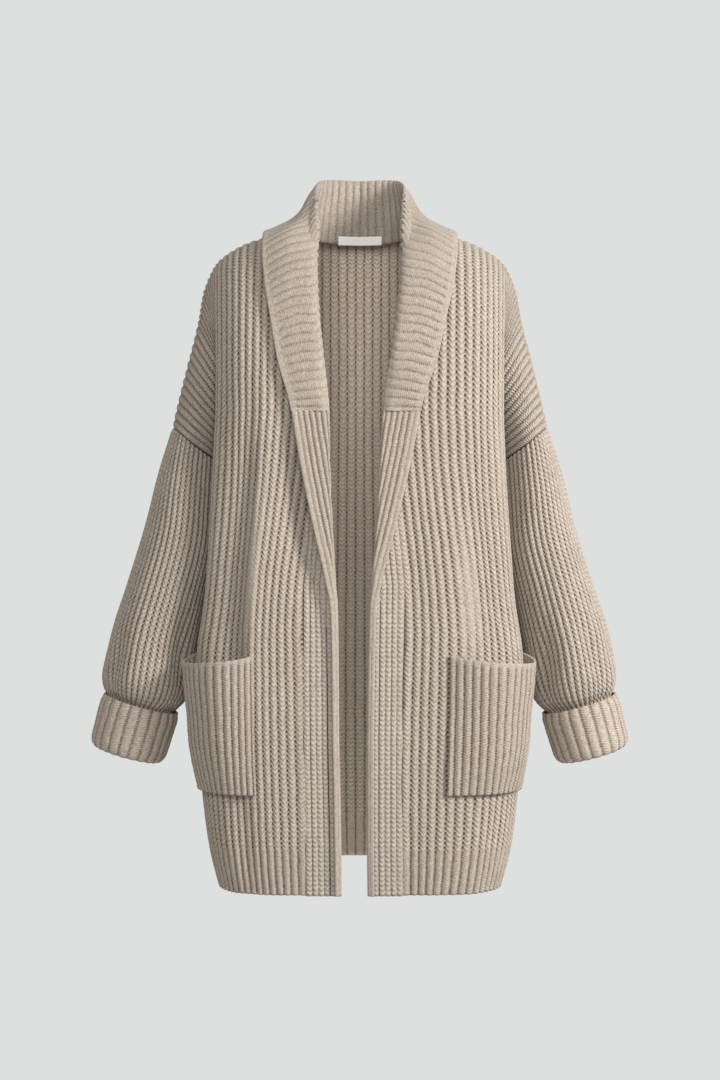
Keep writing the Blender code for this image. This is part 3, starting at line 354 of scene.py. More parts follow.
def neck_start(level):
    """Rib count where the neckline cuts a front, at a level."""
    if level <= 1.0:
        return 0.0
    share = level - 1.0
    edge_x = table_at(FRONT_EDGE, UNDERARM_Z)[0]
    curve = math.sin(share * math.pi / 2)
    cut_x = edge_x + (NECK_X - edge_x) * (NECK_STRAIGHT * share + (1 - NECK_STRAIGHT) * curve)
    ribs = np.linspace(0.0, CHEST_RIBS, 113)
    return float(np.interp(cut_x, chest_points(ribs, share, False)[:, 0], ribs))


def surface_normals(surface, columns, level, low, high, levels):
    """Normals of surface(columns, level), pointing to the face that has the ribs."""
    step, rise = 0.06, 0.006
    across = (surface(np.clip(columns + step, low, high), level)
              - surface(np.clip(columns - step, low, high), level))
    up = (surface(columns, min(level + rise, levels[1]))
          - surface(columns, max(level - rise, levels[0])))
    return unit(np.cross(across, up))


print("neckline at the shoulder: rib", round(neck_start(2.0), 2))

# %% [markdown]
# ## The sleeve's form
#
# A sleeve is a tube of rib that hangs from the dropped shoulder.  It could be a tube
# along a curve, but a worn sleeve isn't round: its sections change from the long slanted
# loop of the armhole to the round wrist.  So each section has a row in the table, and its
# ribs stay 42 all the way down.

# %% Sleeve form
SLEEVE = (
    # outer_x, outer_z, inner_x, inner_z, middle_y, front_radius, back_radius, roundness
    (0.2450, -0.2480, 0.1660, -0.3050, 0.000, 0.0720, 0.0760, 0.0),
    (0.2620, -0.3050, 0.1720, -0.3500, -0.001, 0.0735, 0.0780, 0.5),
    (0.2790, -0.3750, 0.1830, -0.4080, -0.003, 0.0750, 0.0790, 1.0),
    (0.3005, -0.4465, 0.1965, -0.4730, -0.007, 0.0760, 0.0790, 1.0),
    (0.3195, -0.5050, 0.2080, -0.5300, -0.012, 0.0760, 0.0780, 1.0),
    (0.3290, -0.5560, 0.2150, -0.5790, -0.020, 0.0720, 0.0740, 1.0),
    (0.3275, -0.5800, 0.2250, -0.6020, -0.026, 0.0600, 0.0610, 1.0),
    (0.3227, -0.5907, 0.2383, -0.6153, -0.030, 0.0450, 0.0450, 1.0),
    (0.3248, -0.6031, 0.2432, -0.6269, -0.030, 0.0440, 0.0440, 1.0),
)
SLEEVE_RIBS = 42
LOOP_CURVE = 1.1         # above 1, the armhole's loop is fuller at its lower end


def sleeve_points(ribs, place):
    """The sleeve at rib counts round it from the underarm, front first."""
    table = np.array(SLEEVE, float)
    (outer_x, outer_z, inner_x, inner_z, middle_y, front, back, roundness) = smooth(
        np.arange(len(table)), table, place)
    share = np.linspace(0.0, 1.0, 61)
    loop = np.sin(share * math.pi / 2) ** LOOP_CURVE
    ring = (1 - np.cos(math.pi * share)) / 2
    across = loop + (ring - loop) * roundness
    swing = np.sin(math.pi * share)
    top_y = SHOULDER_Y * (1 - ease(place / 2.0))
    centre_y = middle_y + top_y * across
    front_half = np.column_stack((inner_x + (outer_x - inner_x) * across, centre_y - front * swing,
                                  inner_z + (outer_z - inner_z) * across))
    back_half = np.column_stack((front_half[:, 0], centre_y + back * swing, front_half[:, 2]))
    half = SLEEVE_RIBS / 2
    front_length = lengths_along(front_half)[-1]
    back_length = lengths_along(back_half)[-1]
    ribs = np.asarray(ribs, float)
    in_front = ribs <= half
    points = along(back_half, (SLEEVE_RIBS - ribs) / half * back_length)
    points[in_front] = along(front_half, ribs[in_front] / half * front_length)
    return points


print("sleeve at the elbow:", sleeve_points([0, 21], 4.0).round(3).tolist())

# %% [markdown]
# ## The cuff's form
#
# The cuff is a deep band of rib knitted on to the sleeve and turned back over itself.  It
# could be one thick ring.  It is built as rings on a slanted axis instead, so that one
# sheet can run down the inside, round a soft fold and up the outside, as the real one does.

# %% Cuff form
CUFF_TOP = (0.2805, -0.030, -0.6030)
CUFF_AXIS = (0.280, 0.0, -0.960)
CUFF_HEIGHT = 0.0660
CUFF_SEAM = 0.0128       # how far inside the cuff the sleeve ends
CUFF_HALF_WIDTH = (0.0500, 0.0445)   # at its open end and at its fold
CUFF_HALF_DEPTH = (0.0520, 0.0465)
CUFF_LAYERS = 0.0105     # from its outside to its inside, two layers of knitting


def cuff_ring(turns, down, inset):
    """A ring of the cuff, as shares of a turn, at a distance down its axis."""
    axis = unit(np.array(CUFF_AXIS))
    outward = unit(np.cross((0.0, 1.0, 0.0), axis))
    outward = outward if outward[0] > 0 else -outward
    share = down / CUFF_HEIGHT
    half_width = CUFF_HALF_WIDTH[0] + (CUFF_HALF_WIDTH[1] - CUFF_HALF_WIDTH[0]) * share - inset
    half_depth = CUFF_HALF_DEPTH[0] + (CUFF_HALF_DEPTH[1] - CUFF_HALF_DEPTH[0]) * share - inset
    angle = 2 * math.pi * np.asarray(turns, float)
    return (np.array(CUFF_TOP) + axis * down - outward * (half_width * np.cos(angle))[:, None]
            - np.array((0.0, 1.0, 0.0)) * (half_depth * np.sin(angle))[:, None])


print("cuff's top ring:", cuff_ring([0.0, 0.5], 0.0, 0.0).round(3).tolist())

# %% [markdown]
# ## The front bands' form
#
# The band is narrow rib sewn along the front edge.  Near its top it turns back on
# itself, and there it meets the end of the collar, whose leaf carries the same turn on.
# It could be a strip bent by a modifier.  Its face is followed across as a path instead,
# flat, round the turn, and back, because the turn widens evenly from hem to collar.

# %% Band form
ROLL_RADIUS = 0.0055     # of the turn's outer face, in the bands and in the collar
LEVELS_OF_EDGE = (0.0, .10, .32, .64, 1.0)
EDGE_ROLL = 0.0062       # the border rolls forward by this much all the way down
ROLL_ONSET = 0.006       # how softly the turn starts above that


def front_edge_at(level):
    """A front's seam with its band, and a point just beside it."""
    edges = np.array([panel_points(np.array([0.0, 0.3]), row, False) for row in LEVELS_OF_EDGE])
    flat = edges.reshape(len(LEVELS_OF_EDGE), 6)
    return np.array([np.interp(level, LEVELS_OF_EDGE, flat[:, k]) for k in range(6)]).reshape(2, 3)


def band_sizes(level):
    """Width of the band and the width left flat below its fold."""
    turned, width = table_at(FRONT_EDGE, front_edge_at(level)[0, 2])[1:]
    more = turned - EDGE_ROLL
    return width, width - EDGE_ROLL - 0.5 * (more + math.hypot(more, ROLL_ONSET))


def band_row(distance, level):
    """Points across the band's front face at distances from its seam, and their facing."""
    seam = front_edge_at(level)
    outward = unit((seam[1] - seam[0]) * np.array((1.0, 1.0, 0.0)))
    facing = np.array((outward[1], -outward[0], 0.0))
    straight = band_sizes(level)[1]
    radius = ROLL_RADIUS - WALL
    turn = np.clip((distance - straight) / radius, 0.0, math.pi)
    beyond = np.maximum(distance - straight - math.pi * radius, 0.0)
    inwards = np.minimum(distance, straight) + radius * np.sin(turn) - beyond + SEAM_GAP
    forwards = radius * (1 - np.cos(turn))
    points = seam[0] - outward * inwards[:, None] + facing * forwards[:, None]
    normals = facing * np.cos(turn)[:, None] + outward * np.sin(turn)[:, None]
    return points, normals


print("band at its top: width and flat part", np.round(band_sizes(1.0), 4).tolist())

# %% [markdown]
# ## The shawl collar's form
#
# A shawl collar stands up from the neck seam, rolls over and falls as a leaf on the
# shoulders and chest.  Its ribs run across it, from the seam over the roll to the outer
# edge.  A cloth simulation could let it fall, but its roll would then lie where it likes.
# Each station below is one cross section with seven points, the leaf is kept just clear
# of the body under it, and the collar is a smooth skin over the stations.

# %% Where the body lies under the collar
def body_samples():
    """Close points all over the shoulders and chest, and the way each faces."""
    points = []
    facings = []
    for back in (False, True):
        ribs = np.linspace(0.0, CHEST_RIBS + SIDE_RIBS, 60)
        for level in np.linspace(0.9, 2.0, 80):
            def surface(columns, at, back=back):
                """The panel's points, front or back."""
                return panel_points(columns, at, back)
            normals = surface_normals(surface, ribs, level, 0.0, ribs[-1], (0.0, 2.0))
            points.append(surface(ribs, level))
            facings.append(-normals if back else normals)
    return np.concatenate(points), np.concatenate(facings)


BODY_POINTS, BODY_FACINGS = body_samples()
FRONT_COUNT = len(BODY_POINTS) // 2


def on_chest(x, z, lift):
    """A point the given height above the front's outer face, and the way it faces."""
    offset = BODY_POINTS[:FRONT_COUNT, ::2] - np.array((x, z))
    index = int(np.argmin((offset ** 2).sum(axis=1)))
    point = BODY_POINTS[index]
    facing = BODY_FACINGS[index]
    y = point[1] - ((x - point[0]) * facing[0] + (z - point[2]) * facing[2]) / facing[1]
    return np.array((x, y, z)) + facing * lift, facing


def above_body(point, lift, exactly):
    """The point, moved straight out of the body until it has the given height."""
    index = int(np.argmin(((BODY_POINTS - point) ** 2).sum(axis=1)))
    facing = BODY_FACINGS[index]
    move = lift - (point - BODY_POINTS[index]) @ facing
    return point + facing * (move if exactly else max(move, 0.0))


print("body samples:", len(BODY_POINTS))

# %% The neck seam
YOKE_LEVELS = (1.22, 1.43, 1.63, 1.82, 2.0)   # where the front's neckline is measured


def neck_edge():
    """The seam of the collar on the body, centre back to front, and the way it faces."""
    columns = np.concatenate((np.arange(0.0, BACK_RIBS, 0.5), [BACK_RIBS]))
    points = panel_points(columns, 2.0, True)
    keep = points[:, 0] < NECK_X - 0.002
    path = list(points[keep])
    faces = list(-surface_normals(lambda c, r: panel_points(c, r, True),
                                  columns[keep], 2.0, 0.0, BACK_RIBS, (0.0, 2.0)))
    for level in YOKE_LEVELS[::-1] + (1.0,):
        column = np.array([neck_start(level)])
        path.append(panel_points(column, level, False)[0])
        faces.append(surface_normals(lambda c, r: panel_points(c, r, False),
                                     column, level, column[0], CHEST_RIBS, (0.0, 2.0))[0])
    path = np.array(path)
    faces = unit(np.array(faces))
    faces[0, 0] = 0.0
    opening = unit(np.cross(np.gradient(path, axis=0), faces))
    path = path + opening * 2 * SEAM_GAP
    path[-1, 2] += SEAM_GAP
    return path, faces


print("neck seam:", round(float(lengths_along(neck_edge()[0])[-1]), 3), "m")

# %% Collar stations
COLLAR_HALF_RIBS = 37
LEAF_LIFT = 0.0070       # how high the leaf lies over the body
COLLAR = (
    # seam_share, roll_x, roll_y, roll_z, edge_x, edge_y, edge_z, ease
    (0.000, 0.0000, 0.1030, 0.0960, 0.0000, 0.1150, -0.0120, 0.004),
    (0.115, 0.0400, 0.0930, 0.0950, 0.0620, 0.1040, -0.0130, 0.002),
    (0.225, 0.0540, 0.0620, 0.0850, 0.1040, 0.0720, -0.0110, -0.006),
    (0.335, 0.0545, 0.0200, 0.0610, 0.1200, 0.0130, 0.0080, -0.012),
    (0.395, 0.0545, -0.0020, 0.0400, 0.1215, -0.0150, -0.0060, -0.010),
    (0.460, 0.0535, -0.0260, 0.0180, 0.1215, -0.0440, -0.0270, -0.005),
)
COLLAR_FRONT = (
    # seam_share, roll_x, roll_z, edge_x, edge_z, ease
    (0.580, 0.0520, -0.0400, 0.1185, -0.0710, 0.004),
    (0.700, 0.0485, -0.0950, 0.1095, -0.1180, 0.002),
    (0.840, 0.0410, -0.1590, 0.0975, -0.1760, 0.001),
    (0.945, 0.0335, -0.2100, 0.0835, -0.2185, 0.001),
)


def station(seam, roll, outward, middle, edge):
    """Seven points across the collar: up the stand, over the roll and down the leaf."""
    stand = unit(roll - seam)
    outward = unit(outward - (outward @ stand) * stand)
    base = roll - stand * ROLL_RADIUS
    tip = roll + outward * ROLL_RADIUS
    over = base + outward * 2 * ROLL_RADIUS
    return [seam, 0.5 * (seam + base), base, tip, over, middle, edge]


def collar_stations():
    """Places along the seam, the points across the collar there, the seam and its turn.

    The seam is the edge of the plain face; the turn points from the ribbed face to it.
    """
    path, faces = neck_edge()
    whole = lengths_along(path)[-1]
    places = []
    rows = []
    turns = []
    for share, *sizes, lift in COLLAR:
        seam = along(path, np.array([share * whole]))[0]
        roll = np.array(sizes[:3])
        edge = above_body(np.array(sizes[3:]), LEAF_LIFT, True)
        stand = unit(roll - seam)
        outward = unit((edge - seam) - ((edge - seam) @ stand) * stand)
        over = roll - stand * ROLL_RADIUS + outward * 2 * ROLL_RADIUS
        middle = above_body(0.5 * (over + edge) + outward * lift, LEAF_LIFT, False)
        facing = unit(np.array([np.interp(share * whole, lengths_along(path), faces[:, k])
                                for k in range(3)]))
        crest = seam + facing * LEAF_LIFT
        part = np.clip((crest - over) @ (edge - over) / ((edge - over) @ (edge - over)), 0.2, 0.8)
        chord = 2 * min(part, 1 - part)
        line = (over if part < 0.5 else edge) * (1 - chord) + middle * chord
        middle = middle + facing * max((crest - line) @ facing, 0.0) / chord
        places.append(share * whole)
        turns.append(outward)
        rows.append(station(seam - outward * WALL, roll, outward, middle, edge))
    for share, roll_x, roll_z, edge_x, edge_z, lift in COLLAR_FRONT:
        seam = along(path, np.array([share * whole]))[0]
        turn = unit(np.array([np.interp(share * whole, lengths_along(path), faces[:, k])
                              for k in range(3)]))
        roll, facing = on_chest(roll_x, roll_z, -WALL)
        middle = on_chest(0.5 * (roll_x + edge_x), 0.5 * (roll_z + edge_z), LEAF_LIFT + lift)[0]
        edge = on_chest(edge_x, edge_z, LEAF_LIFT)[0]
        row = station(seam - turn * WALL, roll, facing, middle, edge)
        halfway = 0.5 * (row[0] + row[2])
        row[1] = on_chest(halfway[0], halfway[2], -WALL)[0]
        places.append(share * whole)
        turns.append(turn)
        rows.append(row)
    width, straight = band_sizes(1.0)
    bend = math.pi * (ROLL_RADIUS - WALL)
    across = np.array((0.0, 0.5 * straight, straight, straight + 0.5 * bend,
                       straight + bend, 0.5 * (straight + bend + width), width))
    end, facing = band_row(across, 1.0)
    end = end - facing * WALL
    end[:, 2] += SEAM_GAP
    places.append(whole)
    turns.append(facing[0])
    rows.append(end)
    return np.array(places), np.array(rows), path, np.array(turns)


COLLAR_PLACES, COLLAR_ROWS, NECK_SEAM, COLLAR_TURNS = collar_stations()


def collar_sections(ribs):
    """Seven points across the collar at each rib, from the seam to the leaf's edge."""
    place = np.abs(ribs) / COLLAR_HALF_RIBS * COLLAR_PLACES[-1]
    side = np.ones((len(ribs), 3))
    side[ribs < 0, 0] = -1.0
    flat = COLLAR_ROWS.reshape(len(COLLAR_ROWS), -1)
    points = smooth(COLLAR_PLACES, flat, place).reshape(len(ribs), 7, 3) * side[:, None, :]
    turn = unit(smooth(COLLAR_PLACES, COLLAR_TURNS, place)) * side
    points[:, 0] = along(NECK_SEAM, place) * side - turn * WALL
    return points


print("collar stations:", len(COLLAR_PLACES), "along", round(float(COLLAR_PLACES[-1]), 3), "m")

# %% [markdown]
# ## From a form to knitted cloth
#
# The real cloth is thick ribs of looped yarn.  Each piece here is one flat grid, as the
# knitting is: columns are parts of a rib and rows are parts of a stitch.  The grid is laid
# over its form, then pushed in and out by the relief of the ribs, by each stitch's pinch
# and by the soft folds of wear.  Painting the ribs on a smooth form would be quicker, but
# its edges and shadows would stay smooth.

# %% The knitting's relief
RIB_DEPTH = 0.0023       # from the top of a rib to the groove beside it
GROOVE_CURVE = 1.5       # above 1, the ribs' tops are broad and their grooves narrow
BEAT_SHARE = 0.30        # how much deeper a groove is beside a stitch than between two
PINCH = 0.00022          # how much a rib narrows between two stitches
UNEVEN = 0.00040         # how far hand knitting wanders in and out
CLOTH = 0.0031           # thickness of the knitting, from face to face


def groove(ribs):
    """1 in the groove between two ribs, 0 on the top of a rib."""
    return np.abs(2 * (ribs - np.floor(ribs)) - 1)


def uneven(a, b, seed):
    """Smooth, slow unevenness between about -1 and 1, the same on each run."""
    waves = ((0.13, 0.21, 1.3), (0.29, -0.17, 4.1), (-0.23, 0.37, 2.2), (0.51, 0.31, 0.7))
    return sum(np.sin(a * p + b * q + r + seed * (1.7 + 5 * p)) for p, q, r in waves) / 2.6


def stitch_noise(ribs, rows, seed):
    """A different number from -1 to 1 for each stitch of each rib."""
    mixed = np.sin(np.floor(ribs) * 127.1 + np.floor(rows) * 311.7 + seed * 74.7) * 43758.5453
    return 2 * (mixed - np.floor(mixed)) - 1


def knit_depth(ribs, rows, seed, depth=RIB_DEPTH, pinch=PINCH):
    """How far the yarn lies below the tops of the ribs."""
    low = groove(ribs)
    beat = 0.5 + 0.5 * np.cos(2 * math.pi * rows)
    return (depth * low ** GROOVE_CURVE * (1 - BEAT_SHARE / 2 + BEAT_SHARE * beat * (pinch > 0))
            + pinch * beat * (1 - low)
            + 0.5 * pinch * (1 + stitch_noise(ribs, rows, seed)) * (1 - low)
            + UNEVEN * (1 + uneven(ribs, rows * 0.6, seed)))


print("relief:", knit_depth(np.array([0.0, 0.5]), np.array([0.0, 0.5]), 1).round(4).tolist())

# %% Grids of knitting
def grid_facing(points, closed=False):
    """Unit normals of a grid of points; rows run up and columns run across."""
    if closed:
        padded = np.concatenate((points[:, -2:-1], points, points[:, 1:2]), axis=1)
        across = (padded[:, 2:] - padded[:, :-2])
    else:
        across = np.gradient(points, axis=1)
    return unit(np.cross(across, np.gradient(points, axis=0)))


def knitted(name, points, stitches, handling, keep=None, flip=False):
    """A grid of knitting through points[row, column], with its charts as UV maps.

    stitches are rib and stitch numbers; handling is how flat and how tight the knitting
    is.  keep[row, column] is true for the faces to keep; columns that meet are joined.
    """
    rows, columns = points.shape[:2]
    work = bmesh.new()
    bmesh.ops.create_grid(work, x_segments=columns - 1, y_segments=rows - 1, size=1.0)
    mesh = bpy.data.meshes.new(name)
    work.to_mesh(mesh)
    work.free()
    flat = np.empty(len(mesh.vertices) * 3, np.float32)
    mesh.vertices.foreach_get("co", flat)
    flat = flat.reshape(-1, 3)
    column = np.rint((flat[:, 0] + 1) / 2 * (columns - 1)).astype(int)
    row = np.rint((flat[:, 1] + 1) / 2 * (rows - 1)).astype(int)
    mesh.vertices.foreach_set("co", points[row, column].astype(np.float32).ravel())
    corner = np.empty(len(mesh.loops), np.int32)
    mesh.loops.foreach_get("vertex_index", corner)
    for title, pairs in (("Knitting", stitches), ("Handling", handling)):
        chart = mesh.uv_layers.new(name=title)
        chart.data.foreach_set("uv", pairs[row, column][corner].astype(np.float32).ravel())
    work = bmesh.new()
    work.from_mesh(mesh)
    if keep is not None:
        first = corner.reshape(-1, 4)
        kept = keep[row[first].min(axis=1), column[first].min(axis=1)]
        work.faces.ensure_lookup_table()
        extra = [work.faces[k] for k in np.flatnonzero(~kept)]
        bmesh.ops.delete(work, geom=extra, context="FACES")
    bmesh.ops.remove_doubles(work, verts=work.verts, dist=2e-5)
    if flip:
        bmesh.ops.reverse_faces(work, faces=work.faces)
    work.to_mesh(mesh)
    work.free()
    mesh.shade_smooth()
    piece = bpy.data.objects.new(name, mesh)
    bpy.context.scene.collection.objects.link(piece)
    return piece


trial = knitted("trial", np.dstack((*np.meshgrid(range(3), range(4)), np.zeros((4, 3)))),
                np.zeros((4, 3, 2)), np.zeros((4, 3, 2)))
print("trial grid:", len(trial.data.polygons), "faces")
bpy.data.objects.remove(trial, do_unlink=True)

# %% Cut, thickness and place
def cut_of(form, keep=None):
    """Width, length and area of the flat cloth that a grid of points stands for."""
    across, up = np.diff(form, axis=1), np.diff(form, axis=0)
    kept = np.ones((len(up), across.shape[1])) if keep is None else keep
    area = np.linalg.norm(np.cross(form[1:, 1:] - form[:-1, :-1],
                                   form[1:, :-1] - form[:-1, 1:]), axis=2) / 2
    wide = (np.linalg.norm(across[:-1], axis=2) * kept).sum(axis=1).max()
    long = (np.linalg.norm(up[:, :-1], axis=2) * kept).sum(axis=0).max()
    return float(wide), float(long), float((area * kept).sum())


def wear(piece, node, finishes, thickness=CLOTH):
    """Gives a sheet of knitting its thickness and puts it in its node's place.
    """
    for finish in finishes:
        piece.data.materials.append(finish)
    wall = piece.modifiers.new("Thickness", "SOLIDIFY")
    wall.thickness = thickness
    wall.offset = -1.0
    wall.use_even_offset = False
    wall.material_offset = 1
    wall.material_offset_rim = 0
    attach(piece, "root")
    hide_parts(node)
    return piece


def lean(points):
    """Shift the middle of the fronts sideways, as the open edges hang."""
    across = np.abs(points[..., 0])
    fade = 1 - ease((across - LEAN_FULL_X) / (LEAN_NONE_X - LEAN_FULL_X))
    in_front = ease((0.04 - points[..., 1]) / 0.08)
    shifted = points.copy()
    heights, shifts = np.array(LEAN).T
    shifted[..., 0] -= np.interp(points[..., 2], heights, shifts) * fade * in_front
    return shifted


def mirrored(points, side):
    """The wearer's left as it is, the right as its mirror image, then leaned."""
    return lean(points * np.array((side, 1.0, 1.0)))


print("lean of the hem's middle:", lean(np.array([0.0, -0.1, HEM_Z]))[0])

# %% [markdown]
# ## Woollen yarn, half-cardigan knit
#
# The real thing is a thick, softly spun wool yarn, oatmeal and a little marled, knitted
# in half-cardigan rib.  To the eye it is matt and slightly hairy: fat ribs made of
# slanting legs, a dark hole beside each stitch, and brown shade deep in the grooves.
# It could be painted as an image, or every loop could be modelled, which is too heavy here.
# The pattern reads each piece's own stitch chart instead, so it turns with the ribs.  Its
# colour holds painted shade: darker in the grooves, in the holes and between the legs, and
# lighter on the ribs' tops.  The bump only adds what is finer than the mesh.

# %% Colours and nodes
def hex_colour(code):
    """An sRGB hex value as linear red, green, blue and alpha."""
    parts = [int(code[k:k + 2], 16) / 255 for k in (0, 2, 4)]
    return (*[c / 12.92 if c <= 0.04045 else ((c + 0.055) / 1.055) ** 2.4 for c in parts], 1.0)


def add(tree, kind, sockets, **settings):
    """Adds one shader node with its settings, values and links; gives its first output."""
    made = tree.nodes.new("ShaderNode" + kind)
    for key, value in settings.items():
        setattr(made, key, value)
    for key, value in sockets.items():
        if isinstance(value, bpy.types.NodeSocket):
            tree.links.new(value, made.inputs[key])
        else:
            made.inputs[key].default_value = value
    return made.outputs[0]


def per_metre(size):
    """The noise scale that gives patterns of this size in millimetres."""
    return float(round(1000 / size))


print("oatmeal, linear:", [round(c, 3) for c in hex_colour("C9BCAC")])

# %% Reading the stitch chart
WANDER_SIZE = 18.2              # mm over which hand-knitted stitches stray
WANDER = (0.22, 0.30, 0.0)      # how far they stray, in ribs and stitches


def stitch_chart(tree, place, shift):
    """Row and rib of each point, and how it lies across its rib: 0 on top, 1 in the groove."""
    chart = add(tree, "UVMap", {}, uv_map="Knitting")
    drift = add(tree, "TexNoise", {"Vector": place, "Scale": per_metre(WANDER_SIZE), "Detail": 1.0})
    drift = add(tree, "VectorMath", {0: drift.node.outputs["Color"], 1: (0.5, 0.5, 0.5)},
                operation="SUBTRACT")
    chart = add(tree, "VectorMath", {0: drift, 1: WANDER, 2: chart}, operation="MULTIPLY_ADD")
    rib, row = add(tree, "SeparateXYZ", {0: chart}).node.outputs[:2]
    rib = add(tree, "Math", {0: rib, 1: shift}, operation="ADD")
    across = add(tree, "Math", {0: rib}, operation="FRACT")
    across = add(tree, "Math", {0: across, 1: 2.0, 2: -1.0}, operation="MULTIPLY_ADD")
    side = add(tree, "Math", {0: across}, operation="ABSOLUTE")
    crown = add(tree, "Math", {0: side, 1: math.pi / 2}, operation="MULTIPLY")
    return row, rib, side, add(tree, "Math", {0: crown}, operation="COSINE")


print("straying, noise scale:", per_metre(WANDER_SIZE))

# %% Open knitting
def open_stitches(tree, row, side, crown):
    """Slanting legs that meet in a V on the rib, with a hole beside them: height and shade."""
    slanted = add(tree, "Math", {0: side, 1: -0.75, 2: row}, operation="MULTIPLY_ADD")
    leg = add(tree, "Math", {0: slanted, 1: math.pi}, operation="MULTIPLY")
    leg = add(tree, "Math", {0: leg}, operation="SINE")
    leg = add(tree, "Math", {0: leg}, operation="ABSOLUTE")
    leg = add(tree, "Math", {0: leg, 1: 1.5}, operation="POWER")
    beat = add(tree, "Math", {0: row, 1: 2 * math.pi}, operation="MULTIPLY")
    beat = add(tree, "Math", {0: beat}, operation="COSINE")
    beat = add(tree, "MapRange", {0: beat, 1: -0.45, 2: 0.85, 3: 0.0, 4: 1.0},
               interpolation_type="SMOOTHSTEP")
    beside = add(tree, "MapRange", {0: side, 1: 0.58, 2: 0.97, 3: 0.0, 4: 1.0},
                 interpolation_type="SMOOTHSTEP")
    hole = add(tree, "Math", {0: beat, 1: beside}, operation="MULTIPLY")
    height = add(tree, "Math", {0: leg, 1: 1.0, 2: crown}, operation="MULTIPLY_ADD")
    height = add(tree, "Math", {0: hole, 1: -1.1, 2: height}, operation="MULTIPLY_ADD")
    # Painted shade: darker between the legs, in the groove and in the hole beside each stitch,
    # lighter on the rib's top.
    shade = add(tree, "Math", {0: leg, 1: 0.30, 2: 0.34}, operation="MULTIPLY_ADD")
    shade = add(tree, "Math", {0: crown, 1: 0.28, 2: shade}, operation="MULTIPLY_ADD")
    shade = add(tree, "Math", {0: hole, 1: -0.55, 2: shade}, operation="MULTIPLY_ADD")
    return height, shade, slanted


# %% [markdown]
# ## Tight ribbing
#
# Cuffs, collar, bands, pockets and hem are the same yarn on finer needles: to the eye,
# firm cords of small stitches with a narrow dark line between them, which is painted shade
# in the colour.  They could have a material of their own.  One material holds both patterns
# instead, and each piece's Handling chart says how tight it is, so that the hem changes over
# without a hard edge.

# %% Tight ribbing
def tight_stitches(tree, row, side, crown, between):
    """Small stitches on firm cords with a narrow dark line between: height and shade."""
    small = add(tree, "Math", {0: row, 1: 2.0}, operation="MULTIPLY")
    small = add(tree, "Math", {0: side, 1: -0.8, 2: small}, operation="MULTIPLY_ADD")
    small = add(tree, "Math", {0: small, 1: math.pi}, operation="MULTIPLY")
    small = add(tree, "Math", {0: small}, operation="SINE")
    small = add(tree, "Math", {0: small}, operation="ABSOLUTE")
    line = add(tree, "MapRange", {0: side, 1: 0.55, 2: 1.0, 3: 0.0, 4: 1.0},
               interpolation_type="SMOOTHSTEP")
    height = add(tree, "Math", {0: small, 1: 0.35, 2: crown}, operation="MULTIPLY_ADD")
    height = add(tree, "Math", {0: line, 1: -0.7, 2: height}, operation="MULTIPLY_ADD")
    # Painted shade: the gaps between the small stitches and the narrow line between the cords are
    # painted darker.
    shade = add(tree, "Math", {0: small, 1: 0.30, 2: 0.50}, operation="MULTIPLY_ADD")
    shade = add(tree, "Math", {0: line, 1: -between, 2: shade}, operation="MULTIPLY_ADD")
    return height, shade


# %% The knitting's finish
HAIR_SIZE, FLECK_SIZE, TONE_SIZE = 1.111, 2.325, 111.0   # mm: hairs, marl, slow tone
SMOOTH_SHADE = 0.74      # the shade of cloth that is pulled smooth


